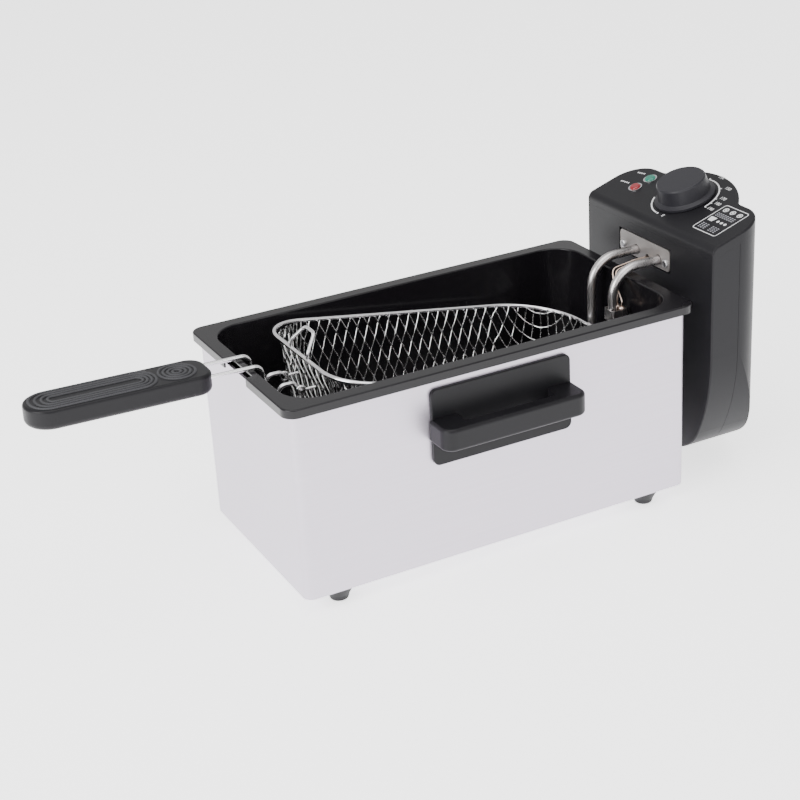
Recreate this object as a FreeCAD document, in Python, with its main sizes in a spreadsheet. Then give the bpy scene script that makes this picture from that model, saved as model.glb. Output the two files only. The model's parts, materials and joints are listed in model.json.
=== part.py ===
import FreeCAD, Part
import math
import os
import Sketcher

# Countertop deep fryer, millimetres, +Z up. The row's origin is on the table, under the middle of the
# whole object. Every piece is placed from the housing datum: the middle of the housing's underside.
# +X points from the housing to the control unit, the basket handle points to -X.

SIZES = {
    # housing and feet
    "housing_length": 320.0, "housing_width": 165.0, "housing_height": 141.5, "housing_corner": 7.0,
    "sheet_wall": 1.0, "hem_thickness": 2.0, "hem_height": 4.0, "base_flange": 20.0, "base_thickness": 1.0,
    "foot_height": 12.0, "foot_top_radius": 12.0, "foot_tip_radius": 6.5, "foot_flare": 1.2,
    "foot_shoulder": 4.2, "foot_tip_round": 1.8, "foot_bore": 9.0, "foot_screw_grip": 8.5,
    "base_play": 1.0, "base_screw_length": 5.0, "hole_play": 0.2,
    "foot_inset_x": 30.0, "foot_inset_y": 12.5, "small_screw_radius": 1.6, "large_screw_radius": 2.0,
    # carry handles on the long walls
    "grip_plate_length": 113.0, "grip_plate_height": 58.0, "grip_plate_corner": 5.0,
    "grip_plate_thickness": 3.0, "grip_plate_drop": 35.2, "bar_length": 116.0, "bar_reach": 25.5,
    "bar_depth": 10.0, "bar_height": 17.0, "bar_drop": 37.0, "arm_width": 21.0, "bar_round": 9.0,
    "bar_edge_round": 2.6, "bar_gap_round": 3.0, "handle_bore": 12.0, "handle_screw_grip": 11.5,
    "handle_screw_head": 3.4, "head_height": 1.8, "grip_plate_edge": 0.8,
    "backing_length": 110.0, "backing_height": 16.0, "backing_thickness": 1.2,
    # lift-out oil pot
    "pot_overhang": 5.0, "pot_rise": 7.2, "pot_lip": 6.5, "pot_lip_round": 1.1, "pot_wall": 1.2,
    "pot_rim_corner": 10.0,
    "pot_gap_x": 4.5, "pot_gap_y": 5.3, "pot_corner": 25.0, "pot_floor_level": 10.8, "pot_floor_round": 9.0,
    "notch_width": 39.0, "notch_depth": 5.6, "notch_round": 2.5,
    # frying basket: upright tapered walls under a rim that slopes down to the rear
    "basket_front_gap": 44.8, "basket_leg_gap": 9.0, "basket_side_gap": 8.4, "basket_element_gap": 7.5,
    "basket_front_corner": 32.0, "basket_rear_flat": 15.6, "basket_mesh": 1.6, "basket_batter": 0.114,
    "basket_rim_drop": 21.0, "basket_rim_fall": 0.158, "basket_floor_round": 7.0,
    "rim_wire_radius": 1.6, "thin_wire_radius": 1.3, "base_wire_inset": 11.0,
    "catch_foot_spread": 28.0, "catch_top_spread": 15.0, "catch_rise": 16.6, "catch_lean": 9.5,
    "catch_foot_rise": 5.0, "catch_foot_lean": 1.0, "catch_foot_bend": 5.0, "catch_top_bend": 5.5,
    "stem_gap": 0.05, "eyelet_radius": 2.9, "eyelet_wire_radius": 1.1, "eyelet_spacing": 29.6,
    "pivot_reach": 7.4, "pivot_drop": 20.6,
    # basket handle
    "handle_pitch": 1.5, "wire_radius": 1.6, "wire_spacing": 22.0, "pin_spacing": 36.0, "wire_low_run": 24.5,
    "wire_rise": 23.7, "wire_lean": 3.0, "hump_rise": 5.2, "hump_near": 4.0,
    "hump_far": 12.5, "dip_start": 17.5, "wire_dip": 0.8, "grip_start": 63.0, "grip_length": 130.5,
    "grip_width": 36.0, "grip_thickness": 15.0, "grip_split": 2.9, "grip_tip_round": 17.9,
    "grip_root_round": 12.0, "grip_top_round": 2.2, "grip_low_round": 4.5, "grip_wire_depth": 12.0,
    "grip_screw_radius": 1.3, "grip_screw_head": 2.7, "grip_head_bore": 2.8, "grip_head_depth": 2.4,
    "grip_screw_bite": 4.2, "grip_bore": 4.5, "grip_front_screw": 24.0, "grip_rear_screw": 30.0,
    # control unit
    "control_gap": 22.0, "control_width": 166.0, "panel_rise": 36.3, "panel_slope": 17.74,
    "control_floor": 7.0, "control_wall": 2.5, "cap_depth": 8.0, "cap_gap": 0.05, "shoulder_depth": 50.0,
    "shoulder_round": 24.0, "waist_round": 8.0, "brow_round": 6.5, "edge_round": 1.5,
    "notch_plan_x": 50.5, "notch_plan_y": 46.5, "lobe_depth": 69.6, "seam_depth": 24.6,
    "seam_gap": 0.25, "side_curve_top": 97.0, "side_curve_radius": 152.0, "keel_radius": 41.0,
    "keel_half_width": 30.4, "post_radius": 4.0, "post_height": 14.0, "front_post_x": 14.0,
    "front_post_side": 22.0, "rear_post_x": 54.0, "rear_post_side": 20.0, "case_screw_length": 12.0,
    # heating element and its plate
    "plate_reach": 18.5, "plate_below": 6.5, "plate_above": 11.2, "plate_thickness": 1.2, "plate_shift": 3.8,
    "plate_recess": 1.4, "plate_margin": 1.0, "plate_corner": 3.5, "plate_screw_inset": 5.0,
    "element_radius": 3.5, "element_spacing": 29.0, "element_rim_gap": 8.3, "element_wall_gap": 20.0,
    "element_floor_gap": 9.0, "element_top_bend": 22.0, "element_side_gap": 26.0, "element_foot_run": 28.0,
    "element_turn_run": 56.0, "element_inner_half": 18.0, "element_front_gap": 42.0,
    "element_bend_gap": 2.0, "element_foot_bend": 13.0, "turn_gap": 0.1,
    "bulb_radius": 2.8, "capillary_radius": 0.7, "capillary_rise": 2.4, "clip_drop": 26.7, "clip_height": 9.0,
    # knob, lamps and controls on the panel
    "knob_along": 37.2, "knob_skirt_radius": 23.8, "knob_cap_radius": 20.8, "knob_height": 16.0,
    "shaft_radius": 3.0, "lamp_radius": 5.0, "lamp_along": 39.8, "lamp_side": 50.2,
    "second_lamp_along": 25.4, "second_lamp_side": 51.0,
    # guide rail, hook, interlock, reset button and cord gland
    "rail_low_drop": 86.5, "rail_high_drop": 11.5, "rail_width": 54.0, "rail_depth": 13.0, "rail_sheet": 1.5,
    "rail_mouth": 18.0, "rail_ear": 4.0, "rail_screw_inset": 10.0, "rail_screw_grip": 1.2,
    "tab_reach": 8.0, "tab_half": 9.0, "hook_drop": 6.0, "hook_thickness": 3.0, "hook_play": 1.0,
    "plunger_radius": 2.5, "plunger_side": 36.0, "plunger_drop": 40.5, "plunger_play": 0.3, "button_radius": 3.5,
    "button_level": 70.0, "gland_radius": 8.0, "gland_level": 35.0, "gland_reach": 3.0,
}

doc = FreeCAD.newDocument("DeepFryer")
sheet = doc.addObject("Spreadsheet::Sheet", "Sizes")


class Dim:
    """A size that carries its number and the spreadsheet formula that gives the number."""

    def __init__(self, number, formula):
        self.number = number
        self.formula = formula

    def __float__(self):
        return float(self.number)

    def _join(self, other, sign, swap=False):
        left, right = (dim(other), self) if swap else (self, dim(other))
        a, b = left.number, right.number
        number = {"+": a + b, "-": a - b, "*": a * b}[sign] if sign != "/" else a / b
        return Dim(number, f"({left.formula} {sign} {right.formula})")

    def __add__(self, other):
        return self._join(other, "+")

    def __radd__(self, other):
        return self._join(other, "+", swap=True)

    def __sub__(self, other):
        return self._join(other, "-")

    def __rsub__(self, other):
        return self._join(other, "-", swap=True)

    def __mul__(self, other):
        return self._join(other, "*")

    def __rmul__(self, other):
        return self._join(other, "*", swap=True)

    def __truediv__(self, other):
        return self._join(other, "/")

    def __neg__(self):
        return 0 - self


def dim(value):
    return value if isinstance(value, Dim) else Dim(float(value), repr(float(value)))


class Sheet:
    """The spreadsheet's sizes as attributes."""


S = Sheet()
for row, (alias, number) in enumerate(SIZES.items(), start=1):
    sheet.set(f"A{row}", alias)
    sheet.set(f"B{row}", str(number))
    sheet.setAlias(f"B{row}", alias)
    setattr(S, alias, Dim(number, f"Sizes.{alias}"))
doc.recompute()

SLOPE = math.radians(float(S.panel_slope))
VECTOR = FreeCAD.Vector
FINISHED = []

# Places worked out from the sizes, in the housing datum's frame.
HALF_LENGTH = S.housing_length / 2
HALF_WIDTH = S.housing_width / 2
INNER_WALL_Y = HALF_WIDTH - S.sheet_wall
RIM_LEVEL = S.housing_height + S.pot_rise
CONTROL_FRONT = HALF_LENGTH + S.control_gap
REAR_REACH = CONTROL_FRONT + S.lobe_depth + S.gland_reach
TUB_LENGTH = S.housing_length - 2 * S.pot_gap_x
TUB_WIDTH = S.housing_width - 2 * S.pot_gap_y
ELEMENT_LOW = S.pot_floor_level + S.pot_wall + S.element_floor_gap
ELEMENT_LEVEL = RIM_LEVEL + S.element_rim_gap
ELEMENT_LEG_X = HALF_LENGTH - S.element_wall_gap
ELEMENT_REAR_X = ELEMENT_LEG_X - S.element_foot_run
ELEMENT_TURN_X = ELEMENT_LEG_X - S.element_turn_run
ELEMENT_FRONT_X = S.element_front_gap - HALF_LENGTH
ELEMENT_HALF_WIDTH = TUB_WIDTH / 2 - S.pot_wall - S.element_side_gap
PLATE_WIDTH = S.element_spacing + 2 * S.plate_reach
PLATE_LOW = ELEMENT_LEVEL - S.plate_below
PLATE_HIGH = ELEMENT_LEVEL + S.plate_above
CLIP_LEVEL = RIM_LEVEL - S.clip_drop
PANEL_LEVEL = RIM_LEVEL + S.panel_rise
GRIP_PLATE_LEVEL = S.housing_height - S.grip_plate_drop
BAR_LEVEL = S.housing_height - S.bar_drop
RAIL_LOW = S.housing_height - S.rail_low_drop
RAIL_HIGH = S.housing_height - S.rail_high_drop
PLUNGER_LEVEL = S.housing_height - S.plunger_drop
HANDLE_LENGTH = S.grip_start + S.grip_length
BASKET_FRONT = S.basket_front_gap - HALF_LENGTH
BASKET_REAR = ELEMENT_LEG_X - S.basket_leg_gap
BASKET_WIDTH = TUB_WIDTH - 2 * S.pot_wall - 2 * S.basket_side_gap
BASKET_REAR_CORNER = BASKET_WIDTH / 2 - S.basket_rear_flat
BASKET_RIM_LEVEL = RIM_LEVEL - S.basket_rim_drop
BASKET_FLOOR = ELEMENT_LOW + S.element_radius + S.basket_element_gap
FRONT_RIM_LEVEL = BASKET_RIM_LEVEL + S.basket_rim_fall * (BASKET_REAR - BASKET_FRONT) / 2
REAR_RIM_LEVEL = BASKET_RIM_LEVEL - S.basket_rim_fall * (BASKET_REAR - BASKET_FRONT) / 2
PIVOT_X = BASKET_FRONT - S.pivot_reach
PIVOT_Z = FRONT_RIM_LEVEL - S.pivot_drop
PITCH = math.radians(float(S.handle_pitch))
HANDLE_REACH = HANDLE_LENGTH * math.cos(PITCH) - PIVOT_X - S.grip_thickness * math.sin(PITCH)
DATUM_X = (HANDLE_REACH - REAR_REACH) / 2


# ---------------------------------------------------------------- helpers

def bind(thing, prop, value):
    """Set a property from a size, as a spreadsheet expression."""
    thing.setExpression(prop, dim(value).formula)


def seat(thing, label, x=0, y=0, z=0, rotation=None):
    """Place a finished sub-part, given from the housing datum, and list it for export."""
    thing.Label = label
    thing.Placement = FreeCAD.Placement(VECTOR(0, 0, 0), rotation or FreeCAD.Rotation())
    for axis, value in (("x", DATUM_X + dim(x)), ("y", dim(y)), ("z", S.foot_height + dim(z))):
        bind(thing, f".Placement.Base.{axis}", value)
    FINISHED.append(thing)
    return thing


def new_body(name):
    return doc.addObject("PartDesign::Body", name + "_body")


def new_sketch(body, plane, name, offset=0):
    sketch = body.newObject("Sketcher::SketchObject", name)
    support = [item for item in body.Origin.OriginFeatures if item.Role == plane][0]
    sketch.AttachmentSupport = [(support, "")]
    sketch.MapMode = "FlatFace"
    bind(sketch, "AttachmentOffset.Base.z", offset)
    return sketch


def pin_value(sketch, kind, refs, value, name):
    """Add a dimensional constraint and bind it to its size."""
    index = sketch.addConstraint(Sketcher.Constraint(kind, *refs, float(value)))
    sketch.renameConstraint(index, name)
    sketch.setExpression(f"Constraints.{name}", dim(value).formula)


def rounded_sketch(body, plane, name, length, width, radius, centre=(0, 0), offset=0, far_radius=None):
    """A rounded rectangle. far_radius rounds the corners on the positive side of the first axis."""
    sketch = new_sketch(body, plane, name, offset)
    far_radius = far_radius or radius
    cx, cy = dim(centre[0]), dim(centre[1])
    x0, x1 = float(cx - length / 2), float(cx + length / 2)
    y0, y1 = float(cy - width / 2), float(cy + width / 2)
    r, q = float(radius), float(far_radius)
    corners = ((x1 - q, y1 - q, q, 0), (x0 + r, y1 - r, r, 90), (x0 + r, y0 + r, r, 180), (x1 - q, y0 + q, q, 270))
    lines = (((x1, y0 + q), (x1, y1 - q)), ((x1 - q, y1), (x0 + r, y1)),
             ((x0, y1 - r), (x0, y0 + r)), ((x0 + r, y0), (x1 - q, y0)))
    for (start, end), (ax, ay, ar, turn) in zip(lines, corners):
        sketch.addGeometry(Part.LineSegment(VECTOR(*start, 0), VECTOR(*end, 0)))
        circle = Part.Circle(VECTOR(ax, ay, 0), VECTOR(0, 0, 1), ar)
        sketch.addGeometry(Part.ArcOfCircle(circle, math.radians(turn), math.radians(turn + 90)))
    for side in range(4):
        line, arc, following = 2 * side, 2 * side + 1, (2 * side + 2) % 8
        sketch.addConstraint(Sketcher.Constraint("Tangent", line, 2, arc, 1))
        sketch.addConstraint(Sketcher.Constraint("Tangent", arc, 2, following, 1))
        sketch.addConstraint(Sketcher.Constraint("Vertical" if side % 2 == 0 else "Horizontal", line))
    sketch.addConstraint(Sketcher.Constraint("Equal", 1, 7))
    sketch.addConstraint(Sketcher.Constraint("Equal", 3, 5))
    pin_value(sketch, "Radius", (1,), far_radius, "far_radius")
    pin_value(sketch, "Radius", (3,), radius, "near_radius")
    pin_value(sketch, "DistanceX", (-1, 1, 0, 1), cx + length / 2, "far_side")
    pin_value(sketch, "DistanceX", (-1, 1, 4, 1), cx - length / 2, "near_side")
    pin_value(sketch, "DistanceY", (-1, 1, 2, 1), cy + width / 2, "upper_side")
    pin_value(sketch, "DistanceY", (-1, 1, 6, 1), cy - width / 2, "lower_side")
    return sketch


def polygon_sketch(body, plane, name, points, offset=0):
    """A closed polygon whose corners are all held by sizes."""
    sketch = new_sketch(body, plane, name, offset)
    count = len(points)
    places = [(float(x), float(y)) for x, y in points]
    for index in range(count):
        start, end = places[index], places[(index + 1) % count]
        sketch.addGeometry(Part.LineSegment(VECTOR(*start, 0), VECTOR(*end, 0)))
    for index in range(count):
        sketch.addConstraint(Sketcher.Constraint("Coincident", index, 2, (index + 1) % count, 1))
        for axis, value in zip("XY", points[index]):
            pin_value(sketch, f"Distance{axis}", (-1, 1, index, 1), value, f"corner_{index}_{axis.lower()}")
    return sketch


def box_sketch(body, plane, name, low, high, offset=0):
    corners = [(low[0], low[1]), (high[0], low[1]), (high[0], high[1]), (low[0], high[1])]
    return polygon_sketch(body, plane, name, corners, offset)


def hole_sketch(body, plane, name, centres, radius, offset=0):
    sketch = new_sketch(body, plane, name, offset)
    for index, (x, y) in enumerate(centres):
        sketch.addGeometry(Part.Circle(VECTOR(float(x), float(y), 0), VECTOR(0, 0, 1), float(radius)))
        pin_value(sketch, "Radius", (index,), radius, f"radius_{index}")
        pin_value(sketch, "DistanceX", (-1, 1, index, 3), x, f"x_{index}")
        pin_value(sketch, "DistanceY", (-1, 1, index, 3), y, f"y_{index}")
    return sketch


def pad(body, sketch, length, reverse=False):
    feature = body.newObject("PartDesign::Pad", "Pad_" + sketch.Name)
    feature.Profile = sketch
    feature.Reversed = reverse
    bind(feature, "Length", length)
    body.Tip = feature
    doc.recompute()
    return feature


def pocket(body, sketch, length, reverse=False):
    """Cut along the sketch's normal turned round, and make sure that something was cut."""
    before = body.Shape.Volume
    feature = body.newObject("PartDesign::Pocket", "Pocket_" + sketch.Name)
    feature.Profile = sketch
    feature.Reversed = reverse
    bind(feature, "Length", length)
    body.Tip = feature
    doc.recompute()
    if body.Shape.Volume > before - 0.01:
        raise ValueError(f"{feature.Name} cuts nothing")
    return feature


def round_edges(body, radius, wanted):
    """Fillet the edges of the body's tip that the function picks."""
    base = body.Tip
    names = [f"Edge{index}" for index, edge in enumerate(base.Shape.Edges, start=1) if wanted(edge)]
    feature = body.newObject("PartDesign::Fillet", "Fillet")
    feature.Base = (base, names)
    bind(feature, "Radius", radius)
    body.Tip = feature
    doc.recompute()
    return feature


def revolve(body, sketch):
    feature = body.newObject("PartDesign::Revolution", "Revolution")
    feature.Profile = sketch
    feature.ReferenceAxis = (sketch, ["V_Axis"])
    feature.Angle = 360.0
    body.Tip = feature
    doc.recompute()
    return feature


def level_edge(level, axis="z"):
    """A picker for edges that lie all at one level."""
    def wanted(edge):
        box = edge.BoundBox
        low, high = getattr(box, axis.upper() + "Min"), getattr(box, axis.upper() + "Max")
        return abs(low - float(level)) < 1e-4 and abs(high - float(level)) < 1e-4
    return wanted


def coded_part(label, shape, **where):
    feature = doc.addObject("Part::Feature", label + "_shape")
    feature.Shape = shape
    return seat(feature, label, **where)


def bent_wire(points, radius, bends, closed=False):
    """A round wire along straight runs joined by tangent arcs, one bend radius for each corner."""
    places = [VECTOR(*(float(value) for value in point)) for point in points]
    count = len(places)
    corners = range(count) if closed else range(1, count - 1)
    bends = bends if isinstance(bends, (list, tuple)) else [bends] * len(corners)
    arcs = {}
    for corner, bend in zip(corners, bends):
        here = places[corner]
        back = (places[corner - 1] - here).normalize()
        ahead = (places[(corner + 1) % count] - here).normalize()
        half_turn = (math.pi - back.getAngle(ahead)) / 2
        inset = float(bend) * math.tan(half_turn)
        middle = here + (back + ahead).normalize() * float(bend) * (1 / math.cos(half_turn) - 1)
        arcs[corner] = (here + back * inset, middle, here + ahead * inset)
    edges = []
    spans = count if closed else count - 1
    for start in range(spans):
        end = (start + 1) % count
        first = arcs[start][2] if start in arcs else places[start]
        last = arcs[end][0] if end in arcs else places[end]
        if (last - first).Length > 1e-6:
            edges.append(Part.LineSegment(first, last).toShape())
        if end in arcs:
            edges.append(Part.Arc(*arcs[end]).toShape())
    path = Part.Wire(Part.__sortEdges__(edges))
    first_edge = path.OrderedEdges[0]
    start = first_edge.valueAt(first_edge.FirstParameter)
    heading = first_edge.tangentAt(first_edge.FirstParameter)
    section = Part.Wire(Part.makeCircle(float(radius), start, heading))
    tube = path.makePipeShell([section], True, False)
    expected = math.pi * float(radius) ** 2 * path.Length
    if abs(tube.Volume) < 0.98 * expected or abs(tube.Volume) > 1.02 * expected:
        raise ValueError("a bent wire's volume is not its section times its length")
    return tube if tube.Volume > 0 else tube.reversed()


def rod(start, direction, radius, length):
    place = VECTOR(*(float(value) for value in start))
    return Part.makeCylinder(float(radius), float(length), place, VECTOR(*direction))


def screw(face, direction, radius, length, head_radius=None, head_height=2.0):
    """A pan-head screw whose head stands on the face and whose shank goes along direction."""
    head_radius, head_height = float(head_radius or 1.8 * radius), float(head_height)
    place = VECTOR(*(float(value) for value in face))
    back = VECTOR(*direction) * -1
    head = Part.makeCylinder(head_radius, head_height, place, back)
    head = head.makeFillet(0.45 * head_height, [edge for edge in head.Edges
                                                if edge.Closed and edge.CenterOfMass.distanceToPoint(place) > 1])
    return head.fuse(rod(face, direction, radius, length)).removeSplitter()


def block(low, high):
    low = VECTOR(*(float(value) for value in low))
    high = VECTOR(*(float(value) for value in high))
    size = high - low
    return Part.makeBox(size.x, size.y, size.z, low)


# ---------------------------------------------------------------- housing, base and feet

FOOT_PLACES = [(sx * (HALF_LENGTH - S.foot_inset_x), sy * (HALF_WIDTH - S.foot_inset_y))
               for sx in (-1, 1) for sy in (-1, 1)]
BASE_SCREW_PLACES = [(sx * (HALF_LENGTH - S.base_flange / 2), sy * HALF_WIDTH / 2)
                     for sx in (-1, 1) for sy in (-1, 1)]
BASE_SCREW_PLACES += [(dim(0), sy * (HALF_WIDTH - S.base_flange / 2)) for sy in (-1, 1)]
ARM_PLACE = S.bar_length / 2 - S.arm_width / 2
HANDLE_SCREW_PLACES = [(-ARM_PLACE, BAR_LEVEL), (ARM_PLACE, BAR_LEVEL)]
RAIL_EAR = S.rail_width / 2 + S.rail_ear
RAIL_SCREW_PLACES = [(side * RAIL_EAR, level) for side in (-1, 1)
                     for level in (RAIL_LOW + S.rail_screw_inset, RAIL_HIGH - S.rail_screw_inset)]


def make_housing():
    body = new_body("housing")
    outer = rounded_sketch(body, "XY_Plane", "housing_outline", S.housing_length, S.housing_width,
                           S.housing_corner)
    pad(body, outer, S.housing_height)
    hem = rounded_sketch(body, "XY_Plane", "hem_opening", S.housing_length - 2 * S.hem_thickness,
                         S.housing_width - 2 * S.hem_thickness, S.housing_corner - S.hem_thickness,
                         offset=S.housing_height)
    pocket(body, hem, S.housing_height - S.sheet_wall)
    inside = rounded_sketch(body, "XY_Plane", "housing_inside", S.housing_length - 2 * S.sheet_wall,
                            S.housing_width - 2 * S.sheet_wall, S.housing_corner - S.sheet_wall,
                            offset=S.housing_height - S.hem_height)
    pocket(body, inside, S.housing_height - S.hem_height - S.sheet_wall)
    floor = rounded_sketch(body, "XY_Plane", "floor_opening", S.housing_length - 2 * S.base_flange,
                           S.housing_width - 2 * S.base_flange, S.housing_corner, offset=S.sheet_wall)
    pocket(body, floor, S.sheet_wall * 2)
    feet = hole_sketch(body, "XY_Plane", "foot_holes", FOOT_PLACES, S.large_screw_radius, S.sheet_wall)
    pocket(body, feet, S.sheet_wall * 2)
    base = hole_sketch(body, "XY_Plane", "base_holes", BASE_SCREW_PLACES, S.small_screw_radius, S.sheet_wall)
    pocket(body, base, S.sheet_wall * 2)
    for name, side, reverse in (("handle_holes_right", -1, True), ("handle_holes_left", 1, False)):
        holes = hole_sketch(body, "XZ_Plane", name, HANDLE_SCREW_PLACES,
                            S.large_screw_radius + S.hole_play)
        pocket(body, holes, S.housing_width, reverse)
    rail = hole_sketch(body, "YZ_Plane", "rail_holes", RAIL_SCREW_PLACES, S.small_screw_radius, HALF_LENGTH)
    pocket(body, rail, S.sheet_wall * 2)
    seat(body, "housing_shell")


def make_base():
    body = new_body("base")
    outline = rounded_sketch(body, "XY_Plane", "base_outline", S.housing_length - 2 * S.sheet_wall - S.base_play,
                             S.housing_width - 2 * S.sheet_wall - S.base_play, S.housing_corner - S.sheet_wall,
                             offset=S.sheet_wall)
    pad(body, outline, S.base_thickness)
    top = S.sheet_wall + S.base_thickness
    feet = hole_sketch(body, "XY_Plane", "foot_holes", FOOT_PLACES, S.large_screw_radius, top)
    pocket(body, feet, S.base_thickness * 2)
    base = hole_sketch(body, "XY_Plane", "base_holes", BASE_SCREW_PLACES, S.small_screw_radius, top)
    pocket(body, base, S.base_thickness * 2)
    seat(body, "base_plate")
    under = [screw((x, y, 0), (0, 0, 1), S.small_screw_radius, S.base_screw_length) for x, y in BASE_SCREW_PLACES]
    coded_part("base_screws", Part.makeCompound(under))


def make_feet():
    names = ("foot_front_right", "foot_front_left", "foot_rear_right", "foot_rear_left")
    for name, (x, y) in zip(names, FOOT_PLACES):
        body = new_body(name)
        bore_end = S.foot_height - S.foot_bore
        profile = [(0, 0), (S.foot_tip_radius, 0), (S.foot_tip_radius + S.foot_flare, S.foot_shoulder),
                   (S.foot_top_radius, S.foot_height), (S.large_screw_radius, S.foot_height),
                   (S.large_screw_radius, bore_end), (0, bore_end)]
        revolve(body, polygon_sketch(body, "XZ_Plane", name + "_profile", profile))
        round_edges(body, S.foot_tip_round, level_edge(0))
        seat(body, name, x, y, -S.foot_height)
    top = S.sheet_wall + S.base_thickness
    shanks = [screw((x, y, top), (0, 0, -1), S.large_screw_radius, top + S.foot_screw_grip) for x, y in FOOT_PLACES]
    coded_part("foot_screws", Part.makeCompound(shanks))


def make_carry_handle(label, turn):
    """A moulded plate with a D-shaped bar, drawn on the -Y wall and turned round for the other wall."""
    body = new_body(label)
    bar_low = BAR_LEVEL - S.bar_height / 2
    front, root = -(HALF_WIDTH + S.bar_reach), -(HALF_WIDTH + S.grip_plate_thickness / 2)
    bar = box_sketch(body, "XY_Plane", label + "_bar", (-S.bar_length / 2, front),
                     (S.bar_length / 2, root), bar_low)
    pad(body, bar, S.bar_height)
    round_edges(body, S.bar_round, lambda edge: edge.BoundBox.XLength < 1e-4 and edge.BoundBox.YLength < 1e-4
                and abs(edge.BoundBox.YMin - float(front)) < 1e-4)
    for level in (bar_low, bar_low + S.bar_height):
        at_level = level_edge(level)
        round_edges(body, S.bar_edge_round, lambda edge: at_level(edge) and edge.BoundBox.YMin < float(root) - 0.1)
    gap_depth = S.bar_reach - S.bar_depth - S.grip_plate_thickness
    gap = rounded_sketch(body, "XY_Plane", label + "_gap", S.bar_length - 2 * S.arm_width,
                         gap_depth + S.grip_plate_thickness, S.bar_gap_round,
                         (0, front + S.bar_depth + (gap_depth + S.grip_plate_thickness) / 2),
                         bar_low + S.bar_height)
    pocket(body, gap, S.bar_height)
    plate = rounded_sketch(body, "XZ_Plane", label + "_plate", S.grip_plate_length, S.grip_plate_height,
                           S.grip_plate_corner, (0, GRIP_PLATE_LEVEL), HALF_WIDTH)
    pad(body, plate, S.grip_plate_thickness)
    holes = hole_sketch(body, "XZ_Plane", label + "_holes", HANDLE_SCREW_PLACES, S.large_screw_radius,
                        HALF_WIDTH)
    pocket(body, holes, S.handle_bore, reverse=True)
    face = -(HALF_WIDTH + S.grip_plate_thickness)
    round_edges(body, S.grip_plate_edge, lambda edge: level_edge(face, "y")(edge) and edge.BoundBox.ZMax
                > float(GRIP_PLATE_LEVEL + S.grip_plate_height / 2) - float(S.grip_plate_corner) - 0.1)
    seat(body, label, rotation=FreeCAD.Rotation(VECTOR(0, 0, 1), turn))


def make_handle_fixings():
    plates, screws = [], []
    for side in (-1, 1):
        inner, face = side * INNER_WALL_Y, side * (INNER_WALL_Y - S.backing_thickness)
        low, high = (inner, face) if float(inner) < float(face) else (face, inner)
        plate = block((-S.backing_length / 2, low, BAR_LEVEL - S.backing_height / 2),
                      (S.backing_length / 2, high, BAR_LEVEL + S.backing_height / 2))
        for x, z in HANDLE_SCREW_PLACES:
            plate = plate.cut(rod((x, low - 1, z), (0, 1, 0), S.large_screw_radius, 4))
            reach = S.backing_thickness + S.sheet_wall + S.handle_screw_grip
            screws.append(screw((x, face, z), (0, side, 0), S.large_screw_radius, reach,
                                S.handle_screw_head, S.head_height))
        plates.append(plate)
    coded_part("handle_backing_plates", Part.makeCompound(plates))
    coded_part("carry_handle_screws", Part.makeCompound(screws))


# ---------------------------------------------------------------- guide rail on the housing's rear wall

RAIL_OUT = HALF_LENGTH + S.rail_depth
LIP_IN = RAIL_OUT - S.rail_sheet
TAB_SIDE = S.plunger_side + S.tab_reach


def make_rail():
    body = new_body("rail")
    half = S.rail_width / 2
    outer = box_sketch(body, "XY_Plane", "rail_channel", (HALF_LENGTH, -half), (RAIL_OUT, half), RAIL_LOW)
    pad(body, outer, RAIL_HIGH - RAIL_LOW)
    slot = box_sketch(body, "XY_Plane", "rail_slot", (HALF_LENGTH + S.rail_sheet, S.rail_sheet - half),
                      (LIP_IN, half - S.rail_sheet), RAIL_HIGH)
    pocket(body, slot, RAIL_HIGH - RAIL_LOW - S.rail_sheet)
    mouth = box_sketch(body, "XY_Plane", "rail_mouth", (LIP_IN - 1, -S.rail_mouth / 2),
                       (RAIL_OUT + 1, S.rail_mouth / 2), RAIL_HIGH)
    pocket(body, mouth, RAIL_HIGH - RAIL_LOW)
    ears = box_sketch(body, "XY_Plane", "rail_ears", (HALF_LENGTH, -RAIL_EAR - S.rail_ear),
                      (HALF_LENGTH + S.rail_sheet, RAIL_EAR + S.rail_ear), RAIL_LOW)
    pad(body, ears, RAIL_HIGH - RAIL_LOW)
    tab = box_sketch(body, "XY_Plane", "interlock_tab", (LIP_IN, half - 1), (RAIL_OUT, TAB_SIDE),
                     PLUNGER_LEVEL - S.tab_half)
    pad(body, tab, S.tab_half * 2)
    holes = hole_sketch(body, "YZ_Plane", "ear_holes", RAIL_SCREW_PLACES, S.small_screw_radius,
                        HALF_LENGTH + S.rail_sheet)
    pocket(body, holes, S.rail_sheet)
    seat(body, "guide_rail")
    face = HALF_LENGTH + S.rail_sheet
    screws = [screw((face, y, z), (-1, 0, 0), S.small_screw_radius, S.rail_sheet + S.sheet_wall + S.rail_screw_grip)
              for y, z in RAIL_SCREW_PLACES]
    coded_part("rail_screws", Part.makeCompound(screws))


# ---------------------------------------------------------------- lift-out oil pot

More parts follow.
